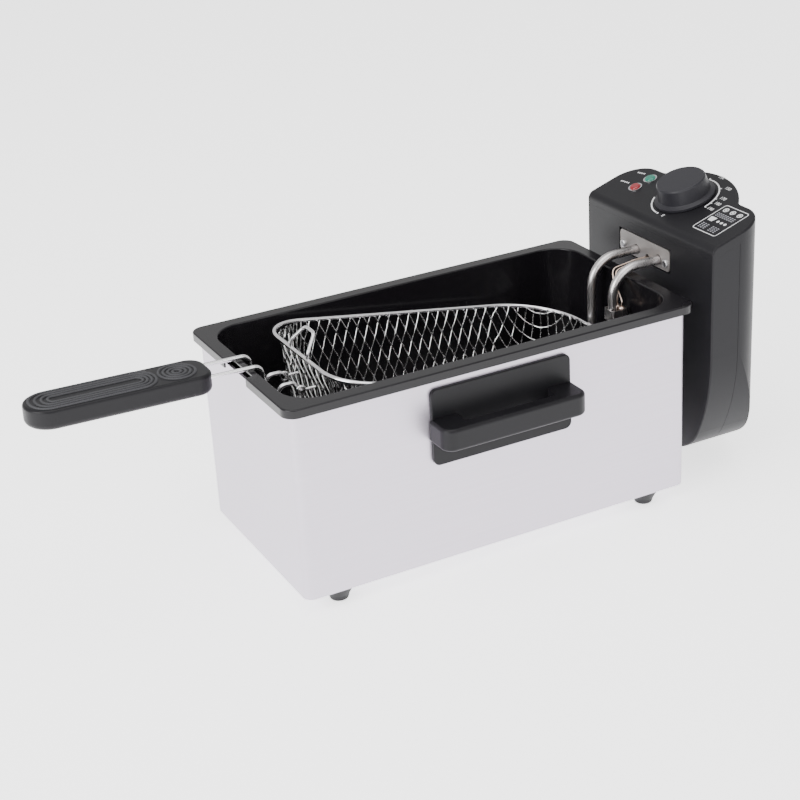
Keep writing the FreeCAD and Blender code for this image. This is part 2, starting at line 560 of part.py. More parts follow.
def make_pot():
    body = new_body("pot")
    length, width = S.housing_length + 2 * S.pot_overhang, S.housing_width + 2 * S.pot_overhang
    under = RIM_LEVEL - S.pot_lip
    rim = rounded_sketch(body, "XY_Plane", "pot_rim", length, width, S.pot_rim_corner, offset=RIM_LEVEL)
    pad(body, rim, S.pot_lip, reverse=True)
    round_edges(body, S.pot_lip_round, level_edge(RIM_LEVEL))
    hollow = rounded_sketch(body, "XY_Plane", "lip_inside", length - 2 * S.pot_wall,
                            width - 2 * S.pot_wall, S.pot_rim_corner - S.pot_wall, offset=under)
    pocket(body, hollow, S.pot_lip - S.pot_wall, reverse=True)
    tub = rounded_sketch(body, "XY_Plane", "tub_outline", TUB_LENGTH, TUB_WIDTH, S.pot_corner,
                         offset=RIM_LEVEL - S.pot_wall / 2)
    pad(body, tub, RIM_LEVEL - S.pot_wall / 2 - S.pot_floor_level, reverse=True)
    round_edges(body, S.pot_floor_round + S.pot_wall, level_edge(S.pot_floor_level))
    notch = rounded_sketch(body, "XY_Plane", "handle_notch", 2 * S.notch_depth, S.notch_width,
                           S.notch_round, (-length / 2, 0), RIM_LEVEL + 1)
    pocket(body, notch, S.pot_lip + 2)
    core = new_body("pot_core")
    inner_length, inner_width = TUB_LENGTH - 2 * S.pot_wall, TUB_WIDTH - 2 * S.pot_wall
    outline = rounded_sketch(core, "XY_Plane", "pot_inside", inner_length, inner_width,
                             S.pot_corner - S.pot_wall, offset=RIM_LEVEL + 2)
    pad(core, outline, RIM_LEVEL + 2 - S.pot_floor_level - S.pot_wall, reverse=True)
    round_edges(core, S.pot_floor_round, level_edge(S.pot_floor_level + S.pot_wall))
    hollow = doc.addObject("Part::Cut", "pot_hollow")
    hollow.Base = body
    hollow.Tool = core
    doc.recompute()
    at_rim = level_edge(RIM_LEVEL)
    mouth = [index for index, edge in enumerate(hollow.Shape.Edges, start=1)
             if at_rim(edge) and abs(edge.BoundBox.XMin) < float(inner_length) / 2 + 0.01
             and abs(edge.BoundBox.YMin) < float(inner_width) / 2 + 0.01]
    rolled = doc.addObject("Part::Fillet", "pot_mouth")
    rolled.Base = hollow
    rolled.Edges = [(index, S.pot_wall.number * 0.9, S.pot_wall.number * 0.9) for index in mouth]
    doc.recompute()
    seat(rolled, "oil_pot")


# ---------------------------------------------------------------- basket

def basket_outline(level, grow):
    """Ends, half width and corner radii of the wall's middle surface at a level, moved out by grow."""
    inset = S.rim_wire_radius + S.basket_mesh / 2
    front_in = inset + (FRONT_RIM_LEVEL - level) * S.basket_batter
    rear_in = inset + (REAR_RIM_LEVEL - level) * S.basket_batter
    side_in = inset + (BASKET_RIM_LEVEL - level) * S.basket_batter
    return (BASKET_FRONT + front_in - grow, BASKET_REAR - rear_in + grow,
            BASKET_WIDTH / 2 - side_in + grow, S.basket_front_corner - front_in + grow,
            BASKET_REAR_CORNER - rear_in + grow)


def basket_block(name, level, grow):
    """A tapered block with the basket's corners, from a level to well above its rim."""
    body = new_body(name)
    front, rear, half, front_round, rear_round = basket_outline(level, grow)
    outline = rounded_sketch(body, "XY_Plane", name + "_outline", rear - front, half * 2, front_round,
                             ((front + rear) / 2, 0), level, rear_round)
    feature = pad(body, outline, FRONT_RIM_LEVEL + 10 - level)
    batter = math.degrees(math.atan(float(S.basket_batter)))
    bind(feature, "TaperAngle", Dim(batter, "atan(Sizes.basket_batter)"))
    doc.recompute()
    return body


def make_basket():
    half = S.basket_mesh / 2
    outer = basket_block("basket_outer", BASKET_FLOOR, half)
    round_edges(outer, S.basket_floor_round + S.basket_mesh, level_edge(BASKET_FLOOR))
    slope = S.basket_rim_fall
    left, right = BASKET_FRONT - 30, BASKET_REAR + 30
    above = [(left, FRONT_RIM_LEVEL + slope * 30), (right, REAR_RIM_LEVEL - slope * 30), (right, dim(220)),
             (left, dim(220))]
    pocket(outer, polygon_sketch(outer, "XZ_Plane", "above_rim", above, S.housing_width), S.housing_width * 2)
    core_level = BASKET_FLOOR + S.basket_mesh
    core = basket_block("basket_core", core_level, -half)
    round_edges(core, S.basket_floor_round, level_edge(core_level))
    hollow = doc.addObject("Part::Cut", "basket_hollow")
    hollow.Base = outer
    hollow.Tool = core
    doc.recompute()
    seat(hollow, "basket_mesh")

    spread = (FRONT_RIM_LEVEL - BASKET_RIM_LEVEL) * S.basket_batter
    wide, narrow = BASKET_WIDTH / 2 + spread, BASKET_WIDTH / 2 - spread
    rim = [(BASKET_REAR, -narrow, REAR_RIM_LEVEL), (BASKET_REAR, narrow, REAR_RIM_LEVEL),
           (BASKET_FRONT, wide, FRONT_RIM_LEVEL), (BASKET_FRONT, -wide, FRONT_RIM_LEVEL)]
    rear_bend, front_bend = BASKET_REAR_CORNER, S.basket_front_corner
    coded_part("basket_rim_wire", bent_wire(rim, S.rim_wire_radius,
                                            [rear_bend, rear_bend, front_bend, front_bend], closed=True))

    low = BASKET_FLOOR - S.thin_wire_radius
    front, rear, side, front_round, rear_round = basket_outline(BASKET_FLOOR, -S.base_wire_inset)
    base = [(rear, -side, low), (rear, side, low), (front, side, low), (front, -side, low)]
    coded_part("basket_base_wire", bent_wire(base, S.thin_wire_radius, [rear_round, rear_round,
                                                                        front_round, front_round], closed=True))

    foot = FRONT_RIM_LEVEL + S.rim_wire_radius
    wide, narrow = S.catch_foot_spread / 2, S.catch_top_spread / 2
    top_x, top = BASKET_FRONT + S.catch_lean, FRONT_RIM_LEVEL + S.catch_rise
    knee_x, knee = BASKET_FRONT + S.catch_foot_lean, foot + S.catch_foot_rise
    loop = [(BASKET_FRONT, wide, foot), (knee_x, wide, knee), (top_x, narrow, top), (top_x, -narrow, top),
            (knee_x, -wide, knee), (BASKET_FRONT, -wide, foot)]
    foot_bend, top_bend = S.catch_foot_bend, S.catch_top_bend
    coded_part("basket_catch_wire", bent_wire(loop, S.thin_wire_radius,
                                              [foot_bend, top_bend, top_bend, foot_bend]))

    wall_x = basket_outline(PIVOT_Z, half)[0]
    rings = []
    for side in (-1, 1):
        centre = VECTOR(float(PIVOT_X), side * float(S.eyelet_spacing) / 2, float(PIVOT_Z))
        ring = Part.makeTorus(float(S.eyelet_radius), float(S.eyelet_wire_radius), centre, VECTOR(0, 1, 0))
        start = centre + VECTOR(float(S.eyelet_radius), 0, 0)
        stem_end = float(wall_x - S.eyelet_wire_radius * (S.basket_batter + S.stem_gap))
        stem = rod(start, (1, 0, 0), S.eyelet_wire_radius, stem_end - start.x)
        rings.append(ring.fuse(stem))
    coded_part("basket_eyelets", Part.makeCompound(rings))


# ---------------------------------------------------------------- basket handle, in its own frame

GRIP_MIDDLE = S.wire_rise - S.grip_split
GRIP_TOP = GRIP_MIDDLE + S.grip_thickness / 2
GRIP_LOW = GRIP_MIDDLE - S.grip_thickness / 2
GRIP_SCREWS = [(-S.grip_start - S.grip_front_screw, dim(0)),
               (-S.grip_start - S.grip_length + S.grip_rear_screw, dim(0))]


HANDLE_BENDS = [2.4, 4, 4, 3, 4, 6]


def seat_on_handle(feature, label):
    rotation = FreeCAD.Rotation(VECTOR(0, 1, 0), float(S.handle_pitch))
    return seat(feature, label, PIVOT_X, 0, PIVOT_Z, rotation)


def handle_route(side, end):
    y, pin = side * S.wire_spacing / 2, side * S.pin_spacing / 2
    top_x = -S.wire_low_run - S.wire_lean
    return [(0, pin, 0), (0, y, 0), (-S.hump_near, y, S.hump_rise), (-S.hump_far, y, S.hump_rise),
            (-S.dip_start, y, -S.wire_dip), (-S.wire_low_run, y, -S.wire_dip), (top_x, y, S.wire_rise),
            (end, y, S.wire_rise)]


def make_handle_wires():
    end = -S.grip_start - S.grip_wire_depth
    for side, label in ((1, "handle_wire_left"), (-1, "handle_wire_right")):
        feature = doc.addObject("Part::Feature", label + "_shape")
        feature.Shape = bent_wire(handle_route(side, end), S.wire_radius, HANDLE_BENDS)
        seat_on_handle(feature, label)


def grip_outline(body, name, offset):
    return rounded_sketch(body, "XY_Plane", name, S.grip_length, S.grip_width, S.grip_tip_round,
                          (-S.grip_start - S.grip_length / 2, 0), offset, S.grip_root_round)


def make_grip():
    upper = new_body("grip_upper")
    pad(upper, grip_outline(upper, "grip_upper_outline", GRIP_MIDDLE), S.grip_thickness / 2)
    round_edges(upper, S.grip_top_round, level_edge(GRIP_TOP))
    channels = hole_sketch(upper, "YZ_Plane", "wire_channels",
                           [(side * S.wire_spacing / 2, S.wire_rise) for side in (-1, 1)], S.wire_radius,
                           -S.grip_start)
    pocket(upper, channels, S.grip_wire_depth)
    bores = hole_sketch(upper, "XY_Plane", "screw_bores", GRIP_SCREWS, S.grip_screw_radius, GRIP_MIDDLE)
    pocket(upper, bores, S.grip_bore, reverse=True)
    seat_on_handle(upper, "handle_grip_top")

    lower = new_body("grip_lower")
    pad(lower, grip_outline(lower, "grip_lower_outline", GRIP_MIDDLE), S.grip_thickness / 2, reverse=True)
    round_edges(lower, S.grip_low_round, level_edge(GRIP_LOW))
    heads = hole_sketch(lower, "XY_Plane", "head_recesses", GRIP_SCREWS, S.grip_head_bore, GRIP_LOW)
    pocket(lower, heads, S.grip_head_depth, reverse=True)
    bores = hole_sketch(lower, "XY_Plane", "shank_bores", GRIP_SCREWS, S.grip_screw_radius, GRIP_LOW)
    pocket(lower, bores, S.grip_thickness, reverse=True)
    seat_on_handle(lower, "handle_grip_bottom")

    length = S.grip_thickness / 2 - S.grip_head_depth + S.grip_screw_bite
    screws = [screw((x, y, GRIP_LOW + S.grip_head_depth), (0, 0, 1), S.grip_screw_radius, length,
                    S.grip_screw_head, S.head_height) for x, y in GRIP_SCREWS]
    feature = doc.addObject("Part::Feature", "grip_screws_shape")
    feature.Shape = Part.makeCompound(screws)
    seat_on_handle(feature, "grip_screws")


# ---------------------------------------------------------------- control unit casing

def plan_face(inset):
    """The casing's plan, at the level z = 0: straight front, big round shoulders and a rear lobe."""
    front, half = float(CONTROL_FRONT), float(S.control_width) / 2
    shoulder, waist = front + float(S.shoulder_depth), front + float(S.notch_plan_x)
    waist_y, rear = float(S.notch_plan_y), front + float(S.lobe_depth)
    corners = [VECTOR(front, -half, 0), VECTOR(front, half, 0), VECTOR(shoulder, half, 0),
               VECTOR(waist, waist_y, 0)]
    edges = [Part.LineSegment(a, b).toShape() for a, b in zip(corners, corners[1:])]
    edges.append(Part.Arc(corners[-1], VECTOR(rear, 0, 0), VECTOR(waist, -waist_y, 0)).toShape())
    edges.append(Part.LineSegment(VECTOR(waist, -waist_y, 0), VECTOR(shoulder, -half, 0)).toShape())
    edges.append(Part.LineSegment(VECTOR(shoulder, -half, 0), corners[0]).toShape())
    prism = Part.Face(Part.Wire(Part.__sortEdges__(edges))).extrude(VECTOR(0, 0, 10))
    for radius, x in ((S.shoulder_round, shoulder), (S.waist_round, waist)):
        picked = [edge for edge in prism.Edges if edge.BoundBox.ZLength > 9 and abs(edge.BoundBox.XMin - x) < 0.1
                  and edge.BoundBox.XLength < 0.1]
        prism = prism.makeFillet(float(radius), picked)
    face = [item for item in prism.Faces if item.BoundBox.ZMax < 1e-4][0]
    return face.makeOffset2D(-inset) if inset else face


def front_view_face(inset):
    """The casing seen from the front: upright flanks that curve in to a narrow flat keel."""
    half = float(S.control_width) / 2 - inset
    big, small = float(S.side_curve_radius) - inset, float(S.keel_radius) - inset
    floor, keel = float(S.control_floor) + inset, float(S.keel_half_width)
    top, high = float(S.side_curve_top), float(PANEL_LEVEL) + 60
    big_centre = half - big
    small_centre_z = floor + small
    turn = math.acos((keel - big_centre) / (big - small)) if big > small else 0
    turn = min(turn, math.radians(60))
    start = (big_centre + big * math.cos(turn), top - big * math.sin(turn))
    middle = (big_centre + big * math.cos(turn / 2), top - big * math.sin(turn / 2))
    knuckle = (start[0] - small * math.cos(turn), start[1] + small * math.sin(turn))
    low_turn = (turn + math.pi / 2) / 2
    low_middle = (knuckle[0] + small * math.cos(low_turn), knuckle[1] - small * math.sin(low_turn))
    low = (knuckle[0], knuckle[1] - small)
    floor_z = low[1]

    def side(sign):
        points = [VECTOR(0, sign * y, z) for y, z in
                  ((half, high), (half, top), middle, start, low_middle, low)]
        return [Part.LineSegment(points[0], points[1]).toShape(),
                Part.Arc(points[1], points[2], points[3]).toShape(),
                Part.Arc(points[3], points[4], points[5]).toShape()]

    edges = side(1) + side(-1)
    edges.append(Part.LineSegment(VECTOR(0, -low[0], floor_z), VECTOR(0, low[0], floor_z)).toShape())
    edges.append(Part.LineSegment(VECTOR(0, half, high), VECTOR(0, -half, high)).toShape())
    return Part.Face(Part.Wire(Part.__sortEdges__(edges))), floor_z


def below_panel(depth, low=-50.0):
    """Everything under the plane that lies depth below the control panel, measured along Z."""
    front, level = float(CONTROL_FRONT) - 20, float(PANEL_LEVEL) - depth
    rise = math.tan(SLOPE)
    corners = [VECTOR(front, -200, low), VECTOR(front + 160, -200, low),
               VECTOR(front + 160, -200, level + 140 * rise), VECTOR(front, -200, level - 20 * rise)]
    return Part.Face(Part.makePolygon(corners + corners[:1])).extrude(VECTOR(0, 400, 0))


def under_hood(inset):
    """Everything under the panel and its rounded front edge, both moved inwards by inset."""
    front, level = float(CONTROL_FRONT) + float(inset), float(PANEL_LEVEL)
    solid = below_panel(float(inset) / math.cos(SLOPE)).cut(block((front - 60, -300, -100), (front, 300, 500)))
    brow = [edge for edge in solid.Edges if edge.BoundBox.YLength > 300
            and abs(edge.BoundBox.XMax - front) < 0.01 and edge.BoundBox.ZMin > level - 20]
    return solid.makeFillet(float(S.brow_round) - float(inset), brow)


def casing_solid(inset):
    face, floor_z = front_view_face(inset)
    plan = plan_face(inset)
    plan.translate(VECTOR(0, 0, floor_z - 5))
    prism = plan.extrude(VECTOR(0, 0, 260))
    face.translate(VECTOR(float(CONTROL_FRONT) - 30, 0, 0))
    return prism.common(face.extrude(VECTOR(140, 0, 0))).common(under_hood(inset))


def hood_edges(solid):
    """The long edge that runs up both front corners, over the brow and round the top of the panel."""
    def on_hood(point):
        above = (point - panel_point(0, 0, 0)).dot(PANEL_NORMAL)
        return point.x < float(CONTROL_FRONT) + 0.02 or above > -float(S.brow_round) and (
            above > -0.02 or abs(brow_offset(point)) < 0.02)
    picked = []
    for edge in solid.Edges:
        spots = [edge.valueAt(edge.FirstParameter + (edge.LastParameter - edge.FirstParameter) * share)
                 for share in (0.0, 0.5, 1.0)]
        if all(on_hood(spot) for spot in spots) and abs(spots[0].y - spots[2].y) < 100 and spots[1].z > float(
                S.side_curve_top):
            picked.append(edge)
    return picked


def brow_offset(point):
    """How far a point is outside the rounded front edge of the panel."""
    brow = float(S.brow_round)
    axis_x = float(CONTROL_FRONT) + brow
    axis_z = float(PANEL_LEVEL) + brow * math.tan(SLOPE) - brow / math.cos(SLOPE)
    return math.hypot(point.x - axis_x, point.z - axis_z) - brow


CAP_DROP = float(S.cap_depth) / math.cos(SLOPE)
SEAM_X = CONTROL_FRONT + S.seam_depth
FRONT_POSTS = [(CONTROL_FRONT + S.front_post_x, side * S.front_post_side) for side in (-1, 1)]
REAR_POSTS = [(CONTROL_FRONT + S.rear_post_x, side * S.rear_post_side) for side in (-1, 1)]
ELEMENT_SIDES = (S.element_spacing / 2, -S.element_spacing / 2)
PLATE_BACK = CONTROL_FRONT + S.plate_recess - 0.05
PLATE_SCREW_SIDES = [S.plate_shift + side * (PLATE_WIDTH / 2 - S.plate_screw_inset) for side in (-1, 1)]


def panel_point(along, side, height):
    """A point given on the sloping control panel, in the housing datum's frame."""
    x = float(CONTROL_FRONT) + float(along) * math.cos(SLOPE) - float(height) * math.sin(SLOPE)
    z = float(PANEL_LEVEL) + float(along) * math.sin(SLOPE) + float(height) * math.cos(SLOPE)
    return VECTOR(x, float(side), z)


PANEL_NORMAL = VECTOR(-math.sin(SLOPE), 0, math.cos(SLOPE))
LAMPS = ((S.lamp_along, S.lamp_side), (S.second_lamp_along, S.second_lamp_side))


def panel_rod(along, side, low, high, radius):
    start = panel_point(along, side, low)
    return Part.makeCylinder(float(radius), float(high) - float(low), start, PANEL_NORMAL)


def make_casing():
    wall, drop = float(S.control_wall), CAP_DROP
    outer, inner = casing_solid(0), casing_solid(wall)

    outer = outer.makeFillet(float(S.edge_round), hood_edges(outer))
    cap = outer.cut(below_panel(drop)).cut(inner)
    for along, side in LAMPS:
        cap = cap.cut(panel_rod(along, side, -6, 3, S.lamp_radius + 0.1))
    cap = cap.cut(panel_rod(S.knob_along, 0, -6, 3, 5))
    coded_part("control_panel", cap)

    walls = outer.cut(inner).common(below_panel(drop + float(S.cap_gap)))
    seam = float(SEAM_X)
    front_half = block((seam - 100, -200, -50), (seam - float(S.seam_gap) / 2, 200, 400))
    rear_half = block((seam + float(S.seam_gap) / 2, -200, -50), (seam + 120, 200, 400))
    front, rear = walls.common(front_half), walls.common(rear_half)
    floor_z = front_view_face(0)[1]
    for x, y in FRONT_POSTS:
        front = front.fuse(rod((x, y, floor_z + 1), (0, 0, 1), S.post_radius, S.post_height))
    for x, y in REAR_POSTS:
        rear = rear.fuse(rod((x, y, floor_z + 1), (0, 0, 1), S.post_radius, S.post_height))
    for x, y in FRONT_POSTS:
        front = front.cut(rod((x, y, floor_z - 1), (0, 0, 1), S.small_screw_radius, S.post_height))
    for x, y in REAR_POSTS:
        rear = rear.cut(rod((x, y, floor_z - 1), (0, 0, 1), S.small_screw_radius, S.post_height))
    through = (CONTROL_FRONT - 1, 1, 0)
    for side in ELEMENT_SIDES:
        front = front.cut(rod((through[0], side, ELEMENT_LEVEL), (1, 0, 0), S.element_radius + 0.5, 6))
    for side in PLATE_SCREW_SIDES:
        front = front.cut(rod((through[0], side, ELEMENT_LEVEL), (1, 0, 0), S.small_screw_radius, 6))
    front = front.cut(rod((through[0], 0, PLATE_LOW + 4), (1, 0, 0), 2.5, 6))
    reach = PLATE_WIDTH / 2 + S.plate_margin
    front = front.cut(block((through[0], S.plate_shift - reach, PLATE_LOW - S.plate_margin),
                            (CONTROL_FRONT + S.plate_recess, S.plate_shift + reach, PLATE_HIGH + S.plate_margin)))
    front = front.cut(rod((through[0], S.plunger_side, PLUNGER_LEVEL), (1, 0, 0),
                          S.plunger_radius + 0.4, 6))
    rear_wall = CONTROL_FRONT + S.lobe_depth
    rear = rear.cut(rod((rear_wall - 6, 0, S.button_level), (1, 0, 0), S.button_radius + 0.4, 10))
    rear = rear.cut(rod((rear_wall - 6, 0, S.gland_level), (1, 0, 0), S.gland_radius, 10))
    coded_part("control_front_case", front.removeSplitter())
    coded_part("control_rear_case", rear.removeSplitter())
    screws = [screw((x, y, floor_z), (0, 0, 1), S.small_screw_radius, S.case_screw_length)
              for x, y in FRONT_POSTS + REAR_POSTS]
    coded_part("case_screws", Part.makeCompound(screws))

    gland = rod((rear_wall - 6, 0, S.gland_level), (1, 0, 0), S.gland_radius, S.gland_reach + 6)
    gland = gland.makeFillet(1.5, [edge for edge in gland.Edges if edge.Closed
                                   and edge.CenterOfMass.x > float(rear_wall) + 1])
    coded_part("cord_gland", gland.cut(rod((rear_wall - 7, 0, S.gland_level), (1, 0, 0), 4, 14)))
    coded_part("reset_button", rod((rear_wall - 6, 0, S.button_level), (1, 0, 0), S.button_radius, 8))
    coded_part("thermal_cutout", block((rear_wall - 26, -11, S.button_level - 9),
                                       (rear_wall - 8, 11, S.button_level + 9)))
    coded_part("terminal_block", block((CONTROL_FRONT + 32, -15, floor_z + wall),
                                       (CONTROL_FRONT + 46, 15, floor_z + wall + 15)))


# ---------------------------------------------------------------- element, bulbs and their plate

def make_element():
    body = new_body("element_plate")
    middle = (PLATE_LOW + PLATE_HIGH) / 2
    outline = rounded_sketch(body, "YZ_Plane", "plate_outline", PLATE_WIDTH, PLATE_HIGH - PLATE_LOW,
                             S.plate_corner, (S.plate_shift, middle), PLATE_BACK)
    pad(body, outline, S.plate_thickness, reverse=True)
    holes = hole_sketch(body, "YZ_Plane", "tube_holes", [(side, ELEMENT_LEVEL) for side in ELEMENT_SIDES],
                        S.element_radius + 0.5, PLATE_BACK)
    pocket(body, holes, S.plate_thickness)
    fixings = hole_sketch(body, "YZ_Plane", "fixing_holes", [(side, ELEMENT_LEVEL) for side in PLATE_SCREW_SIDES],
                          S.small_screw_radius, PLATE_BACK)
    pocket(body, fixings, S.plate_thickness)
    lead = hole_sketch(body, "YZ_Plane", "capillary_hole", [(dim(0), PLATE_LOW + 4)], 2.5, PLATE_BACK)
    pocket(body, lead, S.plate_thickness)
    seat(body, "element_plate")
    face = PLATE_BACK - S.plate_thickness
    screws = [screw((face, side, ELEMENT_LEVEL), (1, 0, 0), S.small_screw_radius, 9, 3.0, 1.8)
              for side in PLATE_SCREW_SIDES]
    coded_part("element_plate_screws", Part.makeCompound(screws))

    half, wide, inner = S.element_spacing / 2, ELEMENT_HALF_WIDTH, S.element_inner_half
    tail = CONTROL_FRONT + 12
    one_side = [(tail, half, ELEMENT_LEVEL), (ELEMENT_LEG_X, half, ELEMENT_LEVEL),
                (ELEMENT_LEG_X, half, ELEMENT_LOW), (ELEMENT_REAR_X, half, ELEMENT_LOW),
                (ELEMENT_REAR_X, wide, ELEMENT_LOW), (ELEMENT_FRONT_X, wide, ELEMENT_LOW),
                (ELEMENT_FRONT_X, inner, ELEMENT_LOW), (ELEMENT_TURN_X, inner, ELEMENT_LOW)]
    other_side = [(x, -y, z) for x, y, z in reversed(one_side)]
    outer = (wide - inner) / 2 - S.element_bend_gap
    bends = [S.element_top_bend, S.element_foot_bend, S.element_foot_bend, outer, outer, outer, inner - S.turn_gap]
    coded_part("heating_element", bent_wire(one_side + other_side, S.element_radius, bends + bends[::-1]))
    ferrules = []
    for side in ELEMENT_SIDES:
        start = (CONTROL_FRONT + S.control_wall, side, ELEMENT_LEVEL)
        sleeve = rod(start, (1, 0, 0), S.element_radius + 2.5, 6)
        ferrules.append(sleeve.cut(rod(start, (1, 0, 0), S.element_radius, 8)))
    coded_part("element_ferrules", Part.makeCompound(ferrules))


def make_bulbs():
    """Two capillary bulbs lie beside the right leg of the element, held by one band."""
    leg_y = -S.element_spacing / 2
    bulb_x = ELEMENT_LEG_X + S.element_radius + S.bulb_radius
    bulb_top = CLIP_LEVEL + 6
    for label, side, depth, exit_y in (("thermostat", -1, 78, -1.3), ("cutout", 1, 60, 1.3)):
        y = leg_y + side * (S.bulb_radius + 0.15)
        bulb = rod((bulb_x, y, bulb_top - depth), (0, 0, 1), S.bulb_radius, depth)
        bulb = bulb.makeFillet(1.6, [edge for edge in bulb.Edges if edge.Closed])
        coded_part(label + "_bulb", bulb)
        end_y = dim(exit_y)
        inward, spread = y / 2 + 0.5, end_y * 1.8
        route = [(bulb_x, y, bulb_top), (bulb_x + 0.5, y, bulb_top + 5 + side),
                 (bulb_x + 1.5, inward, bulb_top + 13), (bulb_x + 5, spread, RIM_LEVEL + S.capillary_rise),
                 (CONTROL_FRONT - 10, end_y, PLATE_LOW + 4), (CONTROL_FRONT + 8, end_y, PLATE_LOW + 4)]
        coded_part(label + "_capillary", bent_wire(route, S.capillary_radius, [4, 8, 6, 12]))
    low_x, high_x = ELEMENT_LEG_X - S.element_radius, bulb_x + S.bulb_radius
    half = 2 * S.bulb_radius + 0.15
    band = block((low_x - 0.6, leg_y - half - 0.6, CLIP_LEVEL - S.clip_height / 2),
                 (high_x + 0.6, leg_y + half + 0.6, CLIP_LEVEL + S.clip_height / 2))
    band = band.makeFillet(2.5, [edge for edge in band.Edges if edge.BoundBox.ZLength > 5])
    hollow = block((low_x, leg_y - half, 0), (high_x, leg_y + half, 200))
    hollow = hollow.makeFillet(1.9, [edge for edge in hollow.Edges if edge.BoundBox.ZLength > 5])
    coded_part("bulb_clip", band.cut(hollow))


# ---------------------------------------------------------------- hook and interlock

def make_hook():
    body = new_body("hook")
    low = RAIL_LOW + S.rail_sheet + S.plunger_play
    back = LIP_IN - S.hook_play / 2
    half = S.rail_width / 2 - S.rail_sheet - S.hook_play
    tongue = box_sketch(body, "XY_Plane", "hook_tongue", (back - S.hook_thickness, -half), (back, half), low)
    pad(body, tongue, RAIL_HIGH - S.hook_drop - low)
    web_half = S.rail_mouth / 2 - S.hook_play
    web = box_sketch(body, "XY_Plane", "hook_web", (back - 1, -web_half), (CONTROL_FRONT, web_half), low)
    pad(body, web, RAIL_HIGH - S.hook_drop - low)
    seat(body, "guide_hook")


def make_interlock():
    tip = RAIL_OUT + S.plunger_play
    length = CONTROL_FRONT + 6 - tip
    plunger = rod((tip, S.plunger_side, PLUNGER_LEVEL), (1, 0, 0), S.plunger_radius, length)
    plunger = plunger.makeFillet(1.0, [edge for edge in plunger.Edges if edge.Closed
                                       and edge.CenterOfMass.x < float(tip) + 1])
    coded_part("interlock_plunger", plunger)
    near = CONTROL_FRONT + 8.4
    coded_part("interlock_switch", block((near, S.plunger_side - 10, PLUNGER_LEVEL - 6),
                                         (near + 14, S.plunger_side + 10, PLUNGER_LEVEL + 6)))


# ---------------------------------------------------------------- knob, thermostat and lamps

def make_panel_controls():
    rotation = FreeCAD.Rotation(VECTOR(0, 1, 0), -float(S.panel_slope))
    foot = panel_point(S.knob_along, 0, 0)
    body = new_body("knob")
    top, skirt, cap, shaft = S.knob_height, S.knob_skirt_radius, S.knob_cap_radius, S.shaft_radius
    profile = [(shaft, 1), (shaft + 3.5, 1), (shaft + 3.5, top - 4.5), (cap - 3.7, top - 4.5),
               (cap - 2.7, 0.6), (skirt, 0.6), (skirt, 2.4), (cap + 0.9, 3.4), (cap, 4.2),
               (cap - 1.5, top - 1.0), (cap - 2.4, top), (0, top), (0, top - 2.5), (shaft, top - 2.5)]
    revolve(body, polygon_sketch(body, "XZ_Plane", "knob_profile", profile))
    seat(body, "thermostat_knob", foot.x, 0, foot.z, rotation)
    coded_part("thermostat_shaft", panel_rod(S.knob_along, 0, -3.6, top - 2.7, S.shaft_radius))

    thermostat = block((S.knob_along - 17, -18, -24), (S.knob_along + 17, 18, -4.5))
    bush = rod((S.knob_along, 0, -4.5), (0, 0, 1), 6.5, 2)
    feature = doc.addObject("Part::Feature", "thermostat_shape")
    feature.Shape = thermostat.fuse(bush).cut(rod((S.knob_along, 0, -3.9), (0, 0, 1), S.shaft_radius + 0.3, 3))
    seat(feature, "thermostat_body", CONTROL_FRONT, 0, PANEL_LEVEL, rotation)

    bezels, holders = [], []
    for name, (along, side) in zip(("green", "red"), LAMPS):
        ring = panel_rod(along, side, 0, 0.8, S.lamp_radius + 0.6)
        ring = ring.fuse(panel_rod(along, side, -3.5, 0.5, S.lamp_radius))
        bezels.append(ring.cut(panel_rod(along, side, -5, 3, S.lamp_radius - 0.4)).removeSplitter())
        lens = panel_rod(along, side, -3.5, 2.2, S.lamp_radius - 0.4)
        crown = [edge for edge in lens.Edges if edge.Closed and
                 (edge.CenterOfMass - panel_point(along, side, 2.2)).Length < 0.1]
        coded_part("lamp_lens_" + name, lens.makeFillet(1.9, crown))
        holders.append(panel_rod(along, side, -14, -3.5, S.lamp_radius - 0.4))
    coded_part("lamp_bezels", Part.makeCompound(bezels))
    coded_part("lamp_holders", Part.makeCompound(holders))


# ---------------------------------------------------------------- build, check and write

make_housing()
make_base()
make_feet()
make_carry_handle("carry_handle_right", 0)
make_carry_handle("carry_handle_left", 180)
make_handle_fixings()
make_rail()
make_pot()
make_basket()
make_handle_wires()
make_grip()
make_casing()
make_element()
make_bulbs()
make_hook()
make_interlock()
make_panel_controls()
doc.recompute()

for thing in doc.Objects:
    if "Invalid" in thing.State or "Error" in thing.State:
        raise ValueError(f"{thing.Label} did not compute")
os.makedirs("parts", exist_ok=True)
for thing in FINISHED:
    shape = thing.Shape
    if shape.isNull() or not shape.isValid() or not shape.Solids:
        raise ValueError(f"{thing.Label} has no valid solid")
    shape.exportStep(f"parts/{thing.Label}.step")
    box = shape.BoundBox
    print(f"{thing.Label:24s} {len(shape.Solids):2d} solids {shape.Volume / 1000:9.2f} cm3 "
          f"x {box.XMin:7.1f} {box.XMax:7.1f} y {box.YMin:7.1f} {box.YMax:7.1f} z {box.ZMin:6.1f} {box.ZMax:6.1f}")
print("handle pivot", float(PIVOT_X + DATUM_X), float(PIVOT_Z + S.foot_height), "datum x", float(DATUM_X))
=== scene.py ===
"""Countertop deep fryer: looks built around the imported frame, in metres, in the frame's own axes."""
import json
import math

import bmesh
import bpy
from bpy.props import FloatProperty, FloatVectorProperty, IntProperty, PointerProperty
from mathutils import Matrix, Vector


